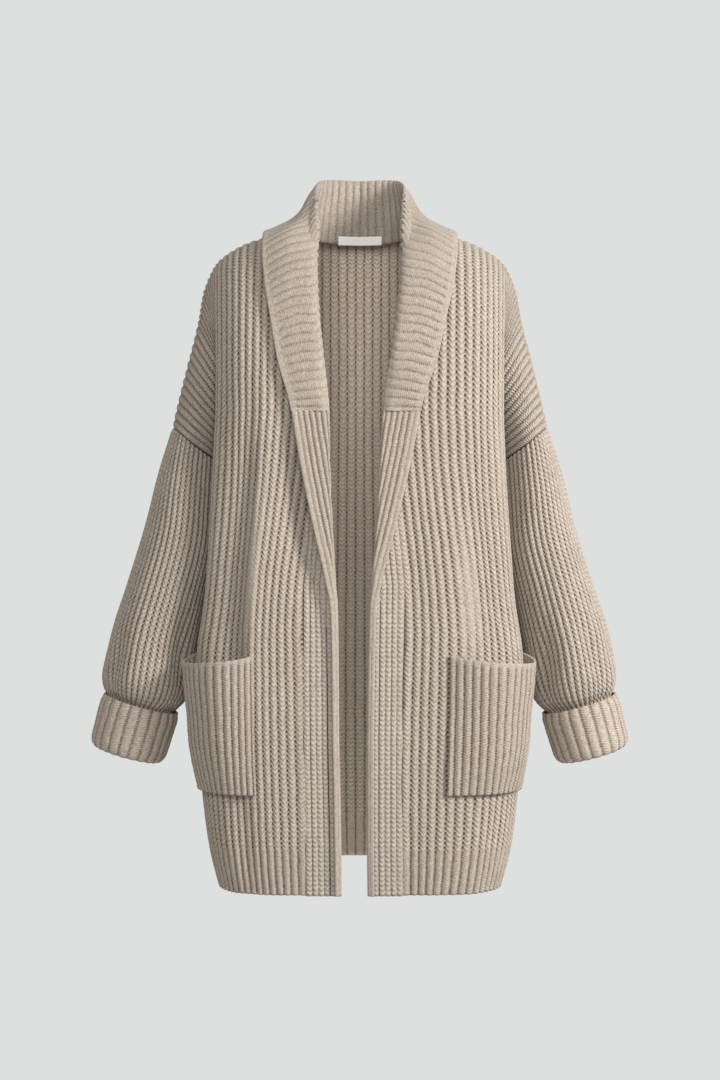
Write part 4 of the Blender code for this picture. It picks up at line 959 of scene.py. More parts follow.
def knit_finish(name, light, middle, dark, shift=0.0, between=0.40):
    """Woollen knitting over the stitch chart; shift 0.5 shows the other face's ribs.

    between is how dark the painted shade is in the lines between the cords of tight ribbing.
    """
    material = bpy.data.materials.new(name)
    material.use_nodes = True
    tree = material.node_tree
    shader = tree.nodes["Principled BSDF"]
    place = add(tree, "TexCoord", {}).node.outputs["Object"]
    row, rib, side, crown = stitch_chart(tree, place, shift)
    open_height, open_shade, slanted = open_stitches(tree, row, side, crown)
    tight_height, tight_shade = tight_stitches(tree, row, side, crown, between)
    handling = add(tree, "SeparateXYZ", {0: add(tree, "UVMap", {}, uv_map="Handling")})
    flat, tight = handling.node.outputs[:2]
    height = add(tree, "Mix", {0: tight, 2: open_height, 3: tight_height})
    shade = add(tree, "Mix", {0: tight, 2: open_shade, 3: tight_shade})
    # Where the cloth is pulled smooth, along a fold or a border, both die away.
    shade = add(tree, "Mix", {0: flat, 2: shade, 3: SMOOTH_SHADE})
    calm = add(tree, "Math", {0: flat, 1: -0.75, 2: 1.0}, operation="MULTIPLY_ADD")
    height = add(tree, "Math", {0: height, 1: calm}, operation="MULTIPLY")
    # Spun yarn: soft strands along the legs, stray hairs, and slow marling.
    strand = add(tree, "Math", {0: slanted, 1: 5.0}, operation="MULTIPLY")
    strand = add(tree, "CombineXYZ", {0: strand, 1: rib, 2: side})
    strand = add(tree, "TexNoise", {"Vector": strand, "Scale": 1.6, "Detail": 2.0})
    hair, marl, slow = [
        add(tree, "TexNoise", {"Vector": place, "Scale": per_metre(size), "Detail": detail})
        for size, detail in ((HAIR_SIZE, 2.0), (FLECK_SIZE, 3.0), (TONE_SIZE, 2.0))]
    for texture, amount in ((strand, 0.55), (hair, 0.30)):
        height = add(tree, "Math", {0: texture, 1: amount, 2: height}, operation="MULTIPLY_ADD")
    for texture, amount in ((strand, 0.22), (marl, 0.95), (slow, 0.12)):
        shade = add(tree, "Math", {0: texture, 1: amount, 2: shade}, operation="MULTIPLY_ADD")
    shade = add(tree, "Math", {0: shade, 1: 0.645}, operation="SUBTRACT")
    # The ramp makes the colour: its dark stop is the brown of painted shade in grooves and holes.
    ramp = add(tree, "ValToRGB", {0: shade}).node
    stops = ramp.color_ramp.elements
    stops[0].position, stops[0].color = 0.08, hex_colour(dark)
    stops[1].position, stops[1].color = 1.0, hex_colour(light)
    stops.new(0.56).color = hex_colour(middle)
    tree.links.new(ramp.outputs[0], shader.inputs["Base Color"])
    bump = add(tree, "Bump", {"Height": height, "Strength": 0.75, "Distance": 0.0011})
    tree.links.new(bump, shader.inputs["Normal"])
    for socket, value in (("Roughness", 0.92), ("Specular IOR Level", 0.18),
                          ("Sheen Weight", 0.22), ("Sheen Roughness", 0.55),
                          ("Sheen Tint", hex_colour("F1E6D8"))):
        shader.inputs[socket].default_value = value
    return material


# %% The cardigan's finishes
# One dyed yarn throughout.  The collar's rib is close and nearly even to the eye, the
# cuffs are a little paler with dark lines of painted shade between their cords, and each
# set's dark stop is the brown of painted shade in the grooves.  The back's inside is the
# same yarn painted much lighter, as painted light on the shaded inside.
OATMEAL = ("B5ABA0", "92867A", "463626")
PALE_OATMEAL = ("C0B5A9", "9D9084", "4A3828")
# Painted light: the back's inside gets these much lighter colours of the same yarn, so that it
# reads as more brightly lit.
PAINTED_LIGHT_OATMEAL = ("E6DACD", "C8B7A6", "6A523D")
body_outside = knit_finish("woollen yarn, half-cardigan knit", *OATMEAL)
body_inside = knit_finish("woollen yarn, half-cardigan knit, inside", *OATMEAL, shift=0.5)
painted_light_inside = knit_finish("woollen yarn, half-cardigan knit, inside with painted light", *PAINTED_LIGHT_OATMEAL,
                          shift=0.5)
leaf_rib = knit_finish("woollen yarn, collar rib", *OATMEAL, between=0.17)
leaf_rib_inside = knit_finish("woollen yarn, collar rib, inside", *OATMEAL, shift=0.5,
                              between=0.17)
cuff_rib = knit_finish("woollen yarn, cuff rib", *PALE_OATMEAL, between=0.34)
soft_rib = knit_finish("woollen yarn, soft rib", *OATMEAL, between=0.24)
soft_rib_inside = knit_finish("woollen yarn, soft rib, inside", *OATMEAL, shift=0.5,
                              between=0.24)
print("finish:", len(body_outside.node_tree.nodes), "nodes")

# %% [markdown]
# ## Back and fronts
#
# A real back or front is one flat rib panel: below the underarm it ends at its side
# seam, and above it the dropped shoulder runs on over the upper arm.  It could be two
# grids joined at the underarm.  One grid for the full width, with the faces beside the
# body left out, keeps the ribs unbroken.  Soft folds are listed one by one instead of made
# by a simulation, so that each lies where the cloth is slack: a fold is a line of rib and
# height with a width and a depth, and similar ones go where nobody looks.

# %% Stitch rows of a panel
BODY_STITCHES, YOKE_STITCHES = 100, 42      # stitches from hem to underarm to shoulder
ROWS_PER_STITCH = {False: 2.0, True: 1.2}   # grid rows of a front and of the back
BODY_KNIT_RIBS = 26      # ribs of the knitting, middle to side seam
COLUMNS_PER_RIB = 4
RIB_PITCH = 0.0092
SEAM_DIP = 0.0013        # how far the cloth sinks into a seam
SEAM_REACH = 0.0045


def panel_rows(back):
    """Levels of the panel's rows and their stitch numbers."""
    steps = round(BODY_STITCHES * ROWS_PER_STITCH[back])
    low = np.arange(steps) / steps
    fine = np.linspace(1.0, 2.0, 41)
    length = lengths_along(np.array([panel_points([8.0], level, back)[0] for level in fine]))
    more = round(YOKE_STITCHES * ROWS_PER_STITCH[back])
    high = np.interp(np.linspace(0.0, length[-1], more + 1), length, fine)
    numbers = (low * BODY_STITCHES, BODY_STITCHES + np.linspace(0, YOKE_STITCHES, more + 1))
    return np.concatenate((low, high)), np.concatenate(numbers)


def seam_dip(distance):
    """How far the cloth sinks at a distance in metres from a seam."""
    return SEAM_DIP * np.exp(-(distance / SEAM_REACH) ** 2)


print("front rows:", len(panel_rows(False)[0]), "back rows:", len(panel_rows(True)[0]))

# %% Folds and relief
FLATTENED = 0.75         # how much of the relief is lost where cloth is pulled smooth


def fold_lines(ribs, heights, folds):
    """Sum of soft folds, each steep on one side or even.

    Each is: rib, height, ribs of slant a metre, its widths before and after that rib,
    length and size.
    """
    total = np.zeros(ribs.shape)
    for rib, height, slant, before, after, length, size in folds:
        middle = rib + slant * (heights - height)
        across = np.where(ribs < middle, hill(ribs, middle, before), hill(ribs, middle, after))
        total += size * across * hill(heights, height, length)
    return total


def pressed(points, facing, stitches, handling, seed, depth=RIB_DEPTH, pinch=PINCH, dip=0.0):
    """Pushes the ribs' relief into a form, less where the knitting is pulled smooth."""
    into = knit_depth(stitches[..., 0], stitches[..., 1], seed, depth, pinch)
    into = into * (1 - FLATTENED * handling[..., 0]) + dip
    return points - facing * into[..., None]


print("a fold's middle:", fold_lines(np.array([5.0]), 0.0, ((5.0, 0.0, 0.0, 1, 1, 1, 0.01),)))

# %% A panel's grid
BAND_OVERLAP = 0.0022    # how far a front's edge goes on behind its band
OVERLAP_DROP = 0.15      # how much of that it sinks
BAND_EASE = 0.7          # ribs over which the relief grows from the band's seam
BAND_FIRM = 0.25         # the share of the relief left at that seam


def panel_grid(back):
    """Ribs, levels and stitch numbers of a panel's grid, its points and their facing."""
    seam = BACK_RIBS + BACK_SIDE_RIBS if back else CHEST_RIBS + SIDE_RIBS
    all_ribs = BODY_KNIT_RIBS + WING_RIBS
    knit_ribs = np.arange(0, all_ribs * COLUMNS_PER_RIB + 1) / COLUMNS_PER_RIB
    ribs = np.interp(knit_ribs, (0, BODY_KNIT_RIBS, all_ribs), (0, seam, seam + WING_RIBS))
    levels, numbers = panel_rows(back)
    points = np.stack([panel_points(ribs, level, back) for level in levels])
    split = int(np.searchsorted(levels, 1.0))
    facing = grid_facing(points)
    facing[split:, ribs > seam] = grid_facing(points[split:])[:, ribs > seam]
    if back:
        facing = -facing
        facing[:, 0, 0] = 0.0
        facing = unit(facing)
    return ribs, levels, numbers, points, facing


def cut_neckline(ribs, levels, points, facing, column, dip):
    """Draws the columns beyond a front's neckline in to its edge, which dips at the seam."""
    for row, level in enumerate(levels):
        start = neck_start(level)
        cut = ribs < start
        for grid in (points, facing):
            grid[row, cut] = [np.interp(start, ribs, grid[row, :, k]) for k in range(3)]
        column[row, cut] = start
        if level > 1.0:
            dip[row] = np.maximum(dip[row], seam_dip((column[row] - start) * RIB_PITCH))


def join_band(points, form, facing, column, below):
    """Eases a front's relief in beside its band and runs its edge on behind the band."""
    firm = BAND_FIRM + (1 - BAND_FIRM) * ease(column[below] / BAND_EASE)
    points[below] = form[below] + (points[below] - form[below]) * firm[..., None]
    beside = unit(form[below, 0] - form[below, 1])
    points[below, 0] += beside * BAND_OVERLAP - facing[below, 0] * OVERLAP_DROP * BAND_OVERLAP


print("front's grid:", panel_grid(False)[3].shape)

# %% Panels
HEM_STITCHES = 9.3       # height of the hem's tighter rib
HEM_BLUR = 1.4           # stitches over which it loosens
HEM_TIGHT = 0.85
SHOULDER_DROP = 0.25     # metres a level on the yoke, for the dip at the shoulder seam


def panel(back, folds, smooth_lines, seed):
    """A front, or the whole back: its points, charts and the faces to keep."""
    ribs, levels, numbers, points, facing = panel_grid(back)
    seam_column = BODY_KNIT_RIBS * COLUMNS_PER_RIB
    seam, full = ribs[seam_column], ribs[-1]
    column = np.broadcast_to(ribs, points.shape[:2]).copy()
    rise = np.repeat(levels[:, None], len(ribs), axis=1)
    dip = seam_dip(np.where(rise < 1.0, np.abs(seam - column), full - column) * RIB_PITCH)
    if not back:
        cut_neckline(ribs, levels, points, facing, column, dip)
    dip = np.maximum(dip, seam_dip((2.0 - rise) * SHOULDER_DROP))
    low = np.repeat(numbers[:, None], len(ribs), axis=1)
    knit_column = np.interp(column, (0, seam, full),
                            (0, BODY_KNIT_RIBS, BODY_KNIT_RIBS + WING_RIBS))
    stitches = np.stack((knit_column, low), axis=-1)
    smoothness = np.clip(fold_lines(column, points[..., 2], smooth_lines), 0.0, 1.0)
    tight = HEM_TIGHT * (1 - ease((low - HEM_STITCHES + HEM_BLUR / 2) / HEM_BLUR))
    handling = np.stack((smoothness, tight), axis=-1)
    keep = (levels[:-1, None] > 1.0 - 1e-6) | (ribs[None, 1:] <= seam + 1e-6)
    keep = np.broadcast_to(keep, (len(levels) - 1, len(ribs) - 1))
    form = points + facing * fold_lines(column, points[..., 2], folds)[..., None]
    wide, long, area = cut_of(form, keep)
    points = pressed(form, facing, stitches, handling, seed, pinch=0.0 if back else PINCH,
                     dip=dip)
    if not back:
        join_band(points, form, facing, column, levels < 1.0)
    # The side and underarm edges of front and back meet, whatever their relief.
    split = int(np.searchsorted(levels, 1.0))
    seam_y = (SEAM_GAP if back else -SEAM_GAP) / 2
    points[:split + 1, seam_column, 1] = seam_y
    points[split, seam_column:, 1] = seam_y
    if back:
        wide, area = 2 * wide, 2 * area
        points = np.concatenate((points[:, :0:-1] * np.array((-1.0, 1.0, 1.0)), points), axis=1)
        stitches = np.concatenate((stitches[:, :0:-1] * np.array((-1.0, 1.0)), stitches), axis=1)
        handling = np.concatenate((handling[:, :0:-1], handling), axis=1)
        keep = np.concatenate((keep[:, ::-1], keep), axis=1)
    return points, stitches, handling, keep, (wide, long, area)


print("hem:", HEM_STITCHES, "stitches of tighter rib")

# %% The back
BACK_FOLDS = (
    # rib, height, slant, width_before, width_after, length, size
    (8.0, -0.45, 4.0, 1.2, 2.6, 0.20, -0.0080),
    (15.0, -0.50, -3.0, 2.4, 1.2, 0.18, -0.0060),
    (21.5, -0.40, 2.0, 1.5, 2.0, 0.16, -0.0050),
    (3.0, -0.62, 2.0, 2.2, 2.2, 0.14, 0.0030),
)
grid, numbers, handling, keep, cut = panel(True, BACK_FOLDS, (), 1)
back = wear(knitted("back_panel", lean(grid), numbers, handling, keep, flip=True),
            "back", (body_outside, painted_light_inside))

# %% The fronts
FRONT_FOLDS = {
    # rib, height, slant, width_before, width_after, length, size
    1: ((9.4, -0.42, 1.0, 2.8, 1.5, 0.20, -0.0070),
        (4.6, -0.44, 1.0, 2.3, 2.3, 0.22, 0.0030),
        (12.2, -0.42, 1.0, 1.8, 1.8, 0.16, 0.0010),
        (13.0, -0.545, 0.0, 3.5, 3.5, 0.050, 0.0050),
        (9.5, -0.76, -3.0, 1.6, 1.6, 0.06, -0.0035)),
    -1: ((7.9, -0.46, 2.0, 1.00, 2.8, 0.20, -0.0165),
         (6.0, -0.46, 2.0, 2.4, 0.9, 0.20, 0.0035),
         (0.5, -0.36, 18.0, 1.2, 2.4, 0.11, -0.0150),
         (12.6, -0.40, 3.0, 1.6, 1.6, 0.18, 0.0035),
         (13.0, -0.545, 0.0, 3.5, 3.5, 0.050, 0.0055),
         (7.0, -0.76, -2.0, 1.6, 1.6, 0.08, -0.0035)),
}
# Where the cloth is pulled smooth along a fold; the last number is how smooth.
FRONT_SMOOTH = {
    1: ((6.7, -0.467, 1.0, 0.85, 0.85, 0.075, 0.95),
        (12.6, -0.30, 3.0, 0.8, 0.8, 0.05, 0.6)),
    -1: ((6.2, -0.440, 1.0, 0.75, 0.75, 0.085, 0.95),
         (11.2, -0.60, 1.0, 0.8, 0.8, 0.05, 0.5)),
}
for side, word in ((1, "left"), (-1, "right")):
    grid, numbers, handling, keep, cut = panel(False, FRONT_FOLDS[side], FRONT_SMOOTH[side],
                                               2 + side)
    wear(
        knitted(f"{word}_front", mirrored(grid, side), numbers, handling, keep, flip=side < 0),
        f"front_{word}", (body_outside, body_inside))

# %% [markdown]
# ## Sleeves
#
# A real sleeve is knitted flat and closed with a seam under the arm.  It could start as
# a cylinder.  A flat grid that goes once round, with its first and last columns joined,
# is used instead, because it carries the same charts as the other pieces.

# %% Sleeve grids
SLEEVE_STITCHES = 57
SLEEVE_KNIT_RIBS = 46
ROWS_PER_SLEEVE_STITCH = 2


def sleeve(seed, folds):
    """A sleeve's points and charts."""
    knit_ribs = np.arange(0, SLEEVE_KNIT_RIBS * COLUMNS_PER_RIB + 1) / COLUMNS_PER_RIB
    ribs = knit_ribs * SLEEVE_RIBS / SLEEVE_KNIT_RIBS
    last = len(SLEEVE) - 1
    fine = np.linspace(0.0, last, 65)
    length = lengths_along(np.array([sleeve_points([SLEEVE_RIBS / 2], p)[0] for p in fine]))
    steps = SLEEVE_STITCHES * ROWS_PER_SLEEVE_STITCH
    places = np.interp(np.linspace(0.0, length[-1], steps + 1), length, fine)
    points = np.stack([sleeve_points(ribs % SLEEVE_RIBS, place) for place in places])
    facing = -grid_facing(points, closed=True)
    rows = -np.arange(steps + 1) / ROWS_PER_SLEEVE_STITCH
    rows = np.repeat(rows[:, None], len(ribs), axis=1)
    stitches = np.stack((np.broadcast_to(knit_ribs, rows.shape), rows), axis=-1)
    handling = np.zeros(stitches.shape)
    down = np.repeat(np.linspace(0.0, length[-1], len(places))[:, None], len(ribs), axis=1)
    dip = np.maximum(seam_dip(down), seam_dip(length[-1] - down))
    column = np.broadcast_to(ribs, rows.shape)
    points = points + facing * fold_lines(column, points[..., 2], folds)[..., None]
    cut = cut_of(points)
    points = pressed(points, facing, stitches, handling, seed, dip=dip)
    points[:, -1] = points[:, 0]
    return points, stitches, handling, cut


print("sleeve:", SLEEVE_KNIT_RIBS, "ribs round,", SLEEVE_STITCHES, "stitches long")

# %% The sleeves
SLEEVE_FOLDS = {
    # rib, height, slant, width_before, width_after, length, size
    1: ((6.0, -0.560, 30.0, 1.3, 2.2, 0.050, -0.0080),
        (13.5, -0.535, -22.0, 1.9, 1.2, 0.045, -0.0060),
        (9.5, -0.430, 18.0, 2.0, 2.0, 0.070, -0.0040),
        (30.0, -0.540, 20.0, 1.8, 1.8, 0.060, -0.0060),
        (17.0, -0.575, 15.0, 1.3, 1.3, 0.030, 0.0030)),
    -1: ((5.0, -0.545, 26.0, 1.4, 2.2, 0.055, -0.0075),
         (15.5, -0.550, -18.0, 1.9, 1.2, 0.040, -0.0060),
         (11.0, -0.450, 14.0, 2.1, 2.1, 0.075, -0.0035),
         (27.0, -0.530, -20.0, 1.8, 1.8, 0.060, -0.0060),
         (20.0, -0.570, 12.0, 1.3, 1.3, 0.030, 0.0030)),
}
for side, word in ((1, "left"), (-1, "right")):
    grid, numbers, handling, cut = sleeve(5 + side, SLEEVE_FOLDS[side])
    wear(
        knitted(f"{word}_sleeve", mirrored(grid, side), numbers, handling, flip=side > 0),
        f"sleeve_{word}", (body_outside, body_inside))

# %% [markdown]
# ## Cuffs
#
# A real cuff is close, fat rib, turned back once, so it is twice as thick as the sleeve
# and soft at its ends.  A ring with a bevel would look hard.  One sheet is taken down the
# inside, round the fold and up the outside instead, and its outside is filled out a
# little more towards the fold, as doubled knitting is.

# %% Cuff grids
CUFF_KNIT_RIBS = 22
COLUMNS_PER_CUFF_RIB = 8
CUFF_STITCH = 0.0060
CUFF_RELIEF, CUFF_PINCH = 0.0013, 0.0003
CUFF_ROWS = (14, 9, 34)          # up the inside, round the turn, along the outside
CUFF_WALL = 0.0027
CUFF_SOFT_END, CUFF_SOFT_REACH = 0.0024, 0.0070   # how the turned cuff rounds off at its ends
CUFF_FULLNESS = 0.0054   # how far the doubled knitting stands out at the turn
CUFF_FULL_TOP = 0.4      # the share of that at its open end


def cuff(seed):
    """The turned-back cuff: down the inside, round the fold and up the outside."""
    ribs = np.arange(0, CUFF_KNIT_RIBS * COLUMNS_PER_CUFF_RIB + 1) / COLUMNS_PER_CUFF_RIB
    radius = CUFF_LAYERS / 2
    bottom = CUFF_HEIGHT - radius
    first, middle, last = CUFF_ROWS
    inside = np.column_stack((np.linspace(CUFF_SEAM, bottom, first), np.full(first, CUFF_LAYERS)))
    turn = np.linspace(0.0, math.pi, middle)[1:-1]
    bend = np.column_stack((bottom + radius * np.sin(turn), radius * (1 + np.cos(turn))))
    outside = np.column_stack((np.linspace(bottom, 0.0, last), np.zeros(last)))
    profile = np.concatenate((inside, bend, outside))
    length = lengths_along(profile)
    points = np.stack([cuff_ring(ribs / CUFF_KNIT_RIBS, down, inset) for down, inset in profile])
    facing = grid_facing(points, closed=True)
    rows = np.repeat(length[:, None] / CUFF_STITCH, len(ribs), axis=1)
    stitches = np.stack((np.broadcast_to(ribs, rows.shape), rows), axis=-1)
    handling = np.zeros(stitches.shape)
    handling[..., 1] = 1.0
    down, inset = profile.T
    dip = CUFF_SOFT_END * (hill(down, 0.0, CUFF_SOFT_REACH)
                           + hill(down, CUFF_HEIGHT, CUFF_SOFT_REACH))
    full = CUFF_FULL_TOP + (1 - CUFF_FULL_TOP) * down / CUFF_HEIGHT
    dip = (dip - CUFF_FULLNESS * full) * (inset < radius)
    cut = cut_of(points)
    points = pressed(points, facing, stitches, handling, seed, CUFF_RELIEF, CUFF_PINCH,
                     dip[:, None])
    points[:, -1] = points[:, 0]
    return points, stitches, handling, cut


print("cuff:", CUFF_KNIT_RIBS, "ribs round,", sum(CUFF_ROWS), "rows from seam to open end")

# %% The cuffs
cuffs = {}
for side, word in ((1, "left"), (-1, "right")):
    grid, numbers, handling, cut = cuff(9 + side)
    cuffs[side] = wear(
        knitted(f"{word}_cuff", mirrored(grid, side), numbers, handling, flip=side < 0),
        f"cuff_{word}", (cuff_rib, cuff_rib),
        CUFF_WALL)

# %% [markdown]
# ## Front bands
#
# A real band is a narrow, firm rib that stiffens the open edge, with a plain border that
# curls forward.  It could be drawn as part of the front.  It is a sheet of its own
# instead, because its ribs are finer and it turns over itself at the top.

# %% Band grids
BAND_PITCH = 0.0072      # from rib to rib across the band
BORDER = 0.0075          # the firm plain border along its free edge
FLAT_END = 0.010         # how far before its fold the front's own folds die away in it
BAND_TUCK = 0.0018       # how far its top goes on under the collar's end
BORDER_BLUR = 0.002      # how softly the border and the turn begin
BAND_PLAIN = 0.85        # how plain the border and a narrow turn are
NARROW_TURN = (0.010, 0.012)   # the turned width that is all border, and its blur
BAND_RELIEF, BAND_WALL = 0.0019, 0.0040
BAND_COLUMNS = 37


def band(seed, folds):
    """The front band on its rear face, from seam to edge and from hem to collar."""
    levels = np.linspace(0.0, 1.0, BODY_STITCHES * 2 + 1)
    shares = np.linspace(0.0, 1.0, BAND_COLUMNS)
    inner = ROLL_RADIUS - WALL
    rear = []
    columns = []
    handling = []
    for level in levels:
        width, straight = band_sizes(level)
        bend = min(max((width - straight) / inner, 0.0), math.pi)
        at = shares * (width + bend * WALL)
        front = np.where(at < straight, at, np.where(
            at < straight + bend * ROLL_RADIUS, straight + (at - straight) / ROLL_RADIUS * inner,
            at - bend * (ROLL_RADIUS - inner)))
        points, facing = band_row(front, level)
        flat = 1 - ease((at - straight + FLAT_END) / FLAT_END)
        dent = fold_lines(-at / RIB_PITCH, points[:, 2], folds) * flat
        rear.append(points + facing * (dent - WALL)[:, None])
        columns.append(at / BAND_PITCH + 0.5)
        border = 1 - ease((at[-1] - at - BORDER) / BORDER_BLUR)
        slim, blur = NARROW_TURN
        rolled = (ease((at - straight) / (1.5 * BORDER_BLUR) + 1)
                  * (1 - ease((width - straight - slim) / blur)))
        handling.append(np.column_stack((BAND_PLAIN * np.maximum(border, rolled),
                                         ease((at - straight) / (2 * BORDER_BLUR)))))
    points = np.stack(rear)
    columns = np.stack(columns)
    rows = np.repeat((levels * BODY_STITCHES)[:, None], len(shares), axis=1)
    stitches = np.stack((columns, rows), axis=-1)
    handling = np.stack(handling)
    cut = cut_of(points)
    points = pressed(points, grid_facing(points), stitches, handling, seed, BAND_RELIEF, 0.0)
    points[-1, :, 2] += BAND_TUCK
    return points, stitches, handling, cut


print("band at mid height, width and flat part:", np.round(band_sizes(0.5), 4).tolist())

# %% The bands
bands = {}
for side, word in ((1, "left"), (-1, "right")):
    grid, numbers, handling, cut = band(12 + side, FRONT_FOLDS[side])
    bands[side] = wear(
        knitted(f"{word}_band", mirrored(grid, side), numbers, handling, flip=side < 0),
        f"band_{word}", (soft_rib, soft_rib_inside),
        BAND_WALL)

# %% [markdown]
# ## The shawl collar
#
# The real collar is one long piece of soft, close rib with a plain border, sewn on with
# its seam turned down inside.  Its relief could come from the same numbers as the body's.
# It is shallower here, and fades over the roll, because close rib that is bent over looks
# nearly smooth there.

# %% Collar grid
STAND_ROWS, TURN_ROWS, LEAF_ROWS = 22, 9, 36
COLLAR_KNIT_RIBS = 38.5    # ribs of the knitting from the centre back to each end
COLUMNS_PER_COLLAR_RIB = 6
COLLAR_STITCH = 0.0048
COLLAR_RELIEF, COLLAR_WALL = 0.0010, 0.0034
COLLAR_BORDER = (0.0065, 0.002, 0.8)   # width, blur, and how plain it is
ROLL_CALM = (0.015, 0.6)               # reach of the calm on the roll, and how plain
SEAM_TUCK = ((0.0085, 0.0010), (0.0040, 0.0020))   # the seam's edge, turned down inside


def collar(seed):
    """The shawl collar's points and charts."""
    parts = round(COLLAR_KNIT_RIBS * COLUMNS_PER_COLLAR_RIB)
    knit_ribs = np.arange(-parts, parts + 1) / COLUMNS_PER_COLLAR_RIB
    ribs = knit_ribs * COLLAR_HALF_RIBS / COLLAR_KNIT_RIBS
    lines = []
    reach = []
    border = []
    for section in collar_sections(ribs):
        knots = lengths_along(section)
        at = np.concatenate((np.linspace(knots[0], knots[2], STAND_ROWS, endpoint=False),
                             np.linspace(knots[2], knots[4], TURN_ROWS, endpoint=False),
                             np.linspace(knots[4], knots[6], LEAF_ROWS + 1)))
        line = smooth(knots, section, at)
        up = unit(section[1] - section[0])
        outward = unit(np.cross(np.cross(up, section[3] - section[2]), up))
        tuck = [section[0] - up * down - outward * inset for down, inset in SEAM_TUCK]
        line = np.concatenate((tuck, line))
        at = np.concatenate(([-1.0, -0.5], at))
        length = lengths_along(line)
        lines.append(line)
        reach.append(length - np.interp(knots[3], at, length))
        border.append(length[-1] - length)
    points = np.stack(lines, axis=1)
    rows = np.stack(reach, axis=1) / COLLAR_STITCH
    border = np.stack(border, axis=1)
    facing = grid_facing(points)
    stitches = np.stack((np.broadcast_to(knit_ribs, rows.shape), rows), axis=-1)
    width, blur, share = COLLAR_BORDER
    calm_reach, calm = ROLL_CALM
    plain = np.maximum(share * (1 - ease((border - width) / blur)),
                       calm * hill(rows * COLLAR_STITCH, 0.0, calm_reach))
    handling = np.stack((plain, np.ones(rows.shape)), axis=-1)
    cut = cut_of(points)
    points = pressed(points, facing, stitches, handling, seed, COLLAR_RELIEF, 0.0)
    return points, stitches, handling, cut


print("collar:", round(2 * COLLAR_KNIT_RIBS), "ribs from end to end")

# %% The collar
grid, numbers, handling, cut = collar(15)
shawl = wear(knitted("shawl_collar", lean(grid), numbers, handling),
             "collar", (leaf_rib, leaf_rib_inside),
             COLLAR_WALL)

# %% [markdown]
# ## Patch pockets
#
# A real patch pocket is a square of close rib sewn on at three sides, and its mouth
# gapes and sags.  It could be a copy of the front, shrunk and moved out.  It is knitted
# anew over the front's form instead, because its ribs are finer than the front's.

# %% Pocket grids
POCKET_TOP, POCKET_BOTTOM = -0.535, -0.706
POCKET_EDGES = {1: (4.5, 20.5), -1: (5.5, 21.0)}
POCKET_CLEAR, POCKET_GAPE, POCKET_BAG = 0.0007, 0.0200, 0.0120
POCKET_SIDE_FLAT, POCKET_DIP = 0.75, 0.0120
BELLY_CURVE = 0.8         # below 1, the pocket is full nearly to its sides
POCKET_STITCHES = 26
ROWS_PER_POCKET_STITCH, COLUMNS_PER_POCKET_RIB = 3, 7
POCKET_KNIT_RIBS = 1.4    # ribs of the pocket to one rib of the front
POCKET_RELIEF, POCKET_PINCH, POCKET_WALL = 0.0023, 0.0004, 0.0030
POCKET_RIM = (0.955, 0.012, 0.8)   # where the mouth's border starts, its blur, how plain


def pocket(side, seed):
    """A ribbed patch over its front, which gapes at its mouth."""
    inner_edge, outer_edge = POCKET_EDGES[side]
    width = outer_edge - inner_edge
    ribs = np.linspace(inner_edge, outer_edge, int(width * COLUMNS_PER_POCKET_RIB) + 1)
    shares = np.linspace(0.0, 1.0, POCKET_STITCHES * ROWS_PER_POCKET_STITCH + 1)
    grid = []
    for up in shares:
        level = (POCKET_BOTTOM + (POCKET_TOP - POCKET_BOTTOM) * up - HEM_Z) / (UNDERARM_Z - HEM_Z)
        crest = panel_points(ribs, level, False)
        normals = surface_normals(lambda c, r: panel_points(c, r, False), ribs, level,
                                  0.0, CHEST_RIBS + SIDE_RIBS, (0.0, 2.0))
        across = (ribs - inner_edge) / width
        belly = np.sin(math.pi * across) ** BELLY_CURVE * (
            1 - POCKET_SIDE_FLAT * ease((across - 0.5) / 0.25))
        crest[:, 2] -= POCKET_DIP * belly * up ** 3
        stand = POCKET_BAG * math.sin(math.pi * min(up, 0.5)) + (
            POCKET_GAPE - POCKET_BAG) * ease((up - 0.45) / 0.55)
        lift = POCKET_CLEAR + WALL + belly * stand
        grid.append(crest + normals * lift[:, None])
    points = np.stack(grid)
    facing = grid_facing(points)
    rows = np.repeat((shares * POCKET_STITCHES)[:, None], len(ribs), axis=1)
    stitches = np.stack((np.broadcast_to(ribs * POCKET_KNIT_RIBS, rows.shape), rows), axis=-1)
    start, blur, share = POCKET_RIM
    rim = share * ease((shares - start) / blur)
    handling = np.stack((np.repeat(rim[:, None], len(ribs), axis=1), np.ones(rows.shape)), axis=-1)
    cut = cut_of(points)
    points = pressed(points, facing, stitches, handling, seed, POCKET_RELIEF, POCKET_PINCH)
    return points, stitches, handling, cut


print("pocket:", POCKET_STITCHES, "stitches high, mouth stands out", POCKET_GAPE, "m")

# %% The pockets
pockets = {}
for side, word in ((1, "left"), (-1, "right")):
    grid, numbers, handling, cut = pocket(side, 17 + side)
    pockets[side] = wear(
        knitted(f"{word}_pocket", mirrored(grid, side), numbers, handling, flip=side < 0),
        f"pocket_{word}", (body_outside, body_inside),
        POCKET_WALL)
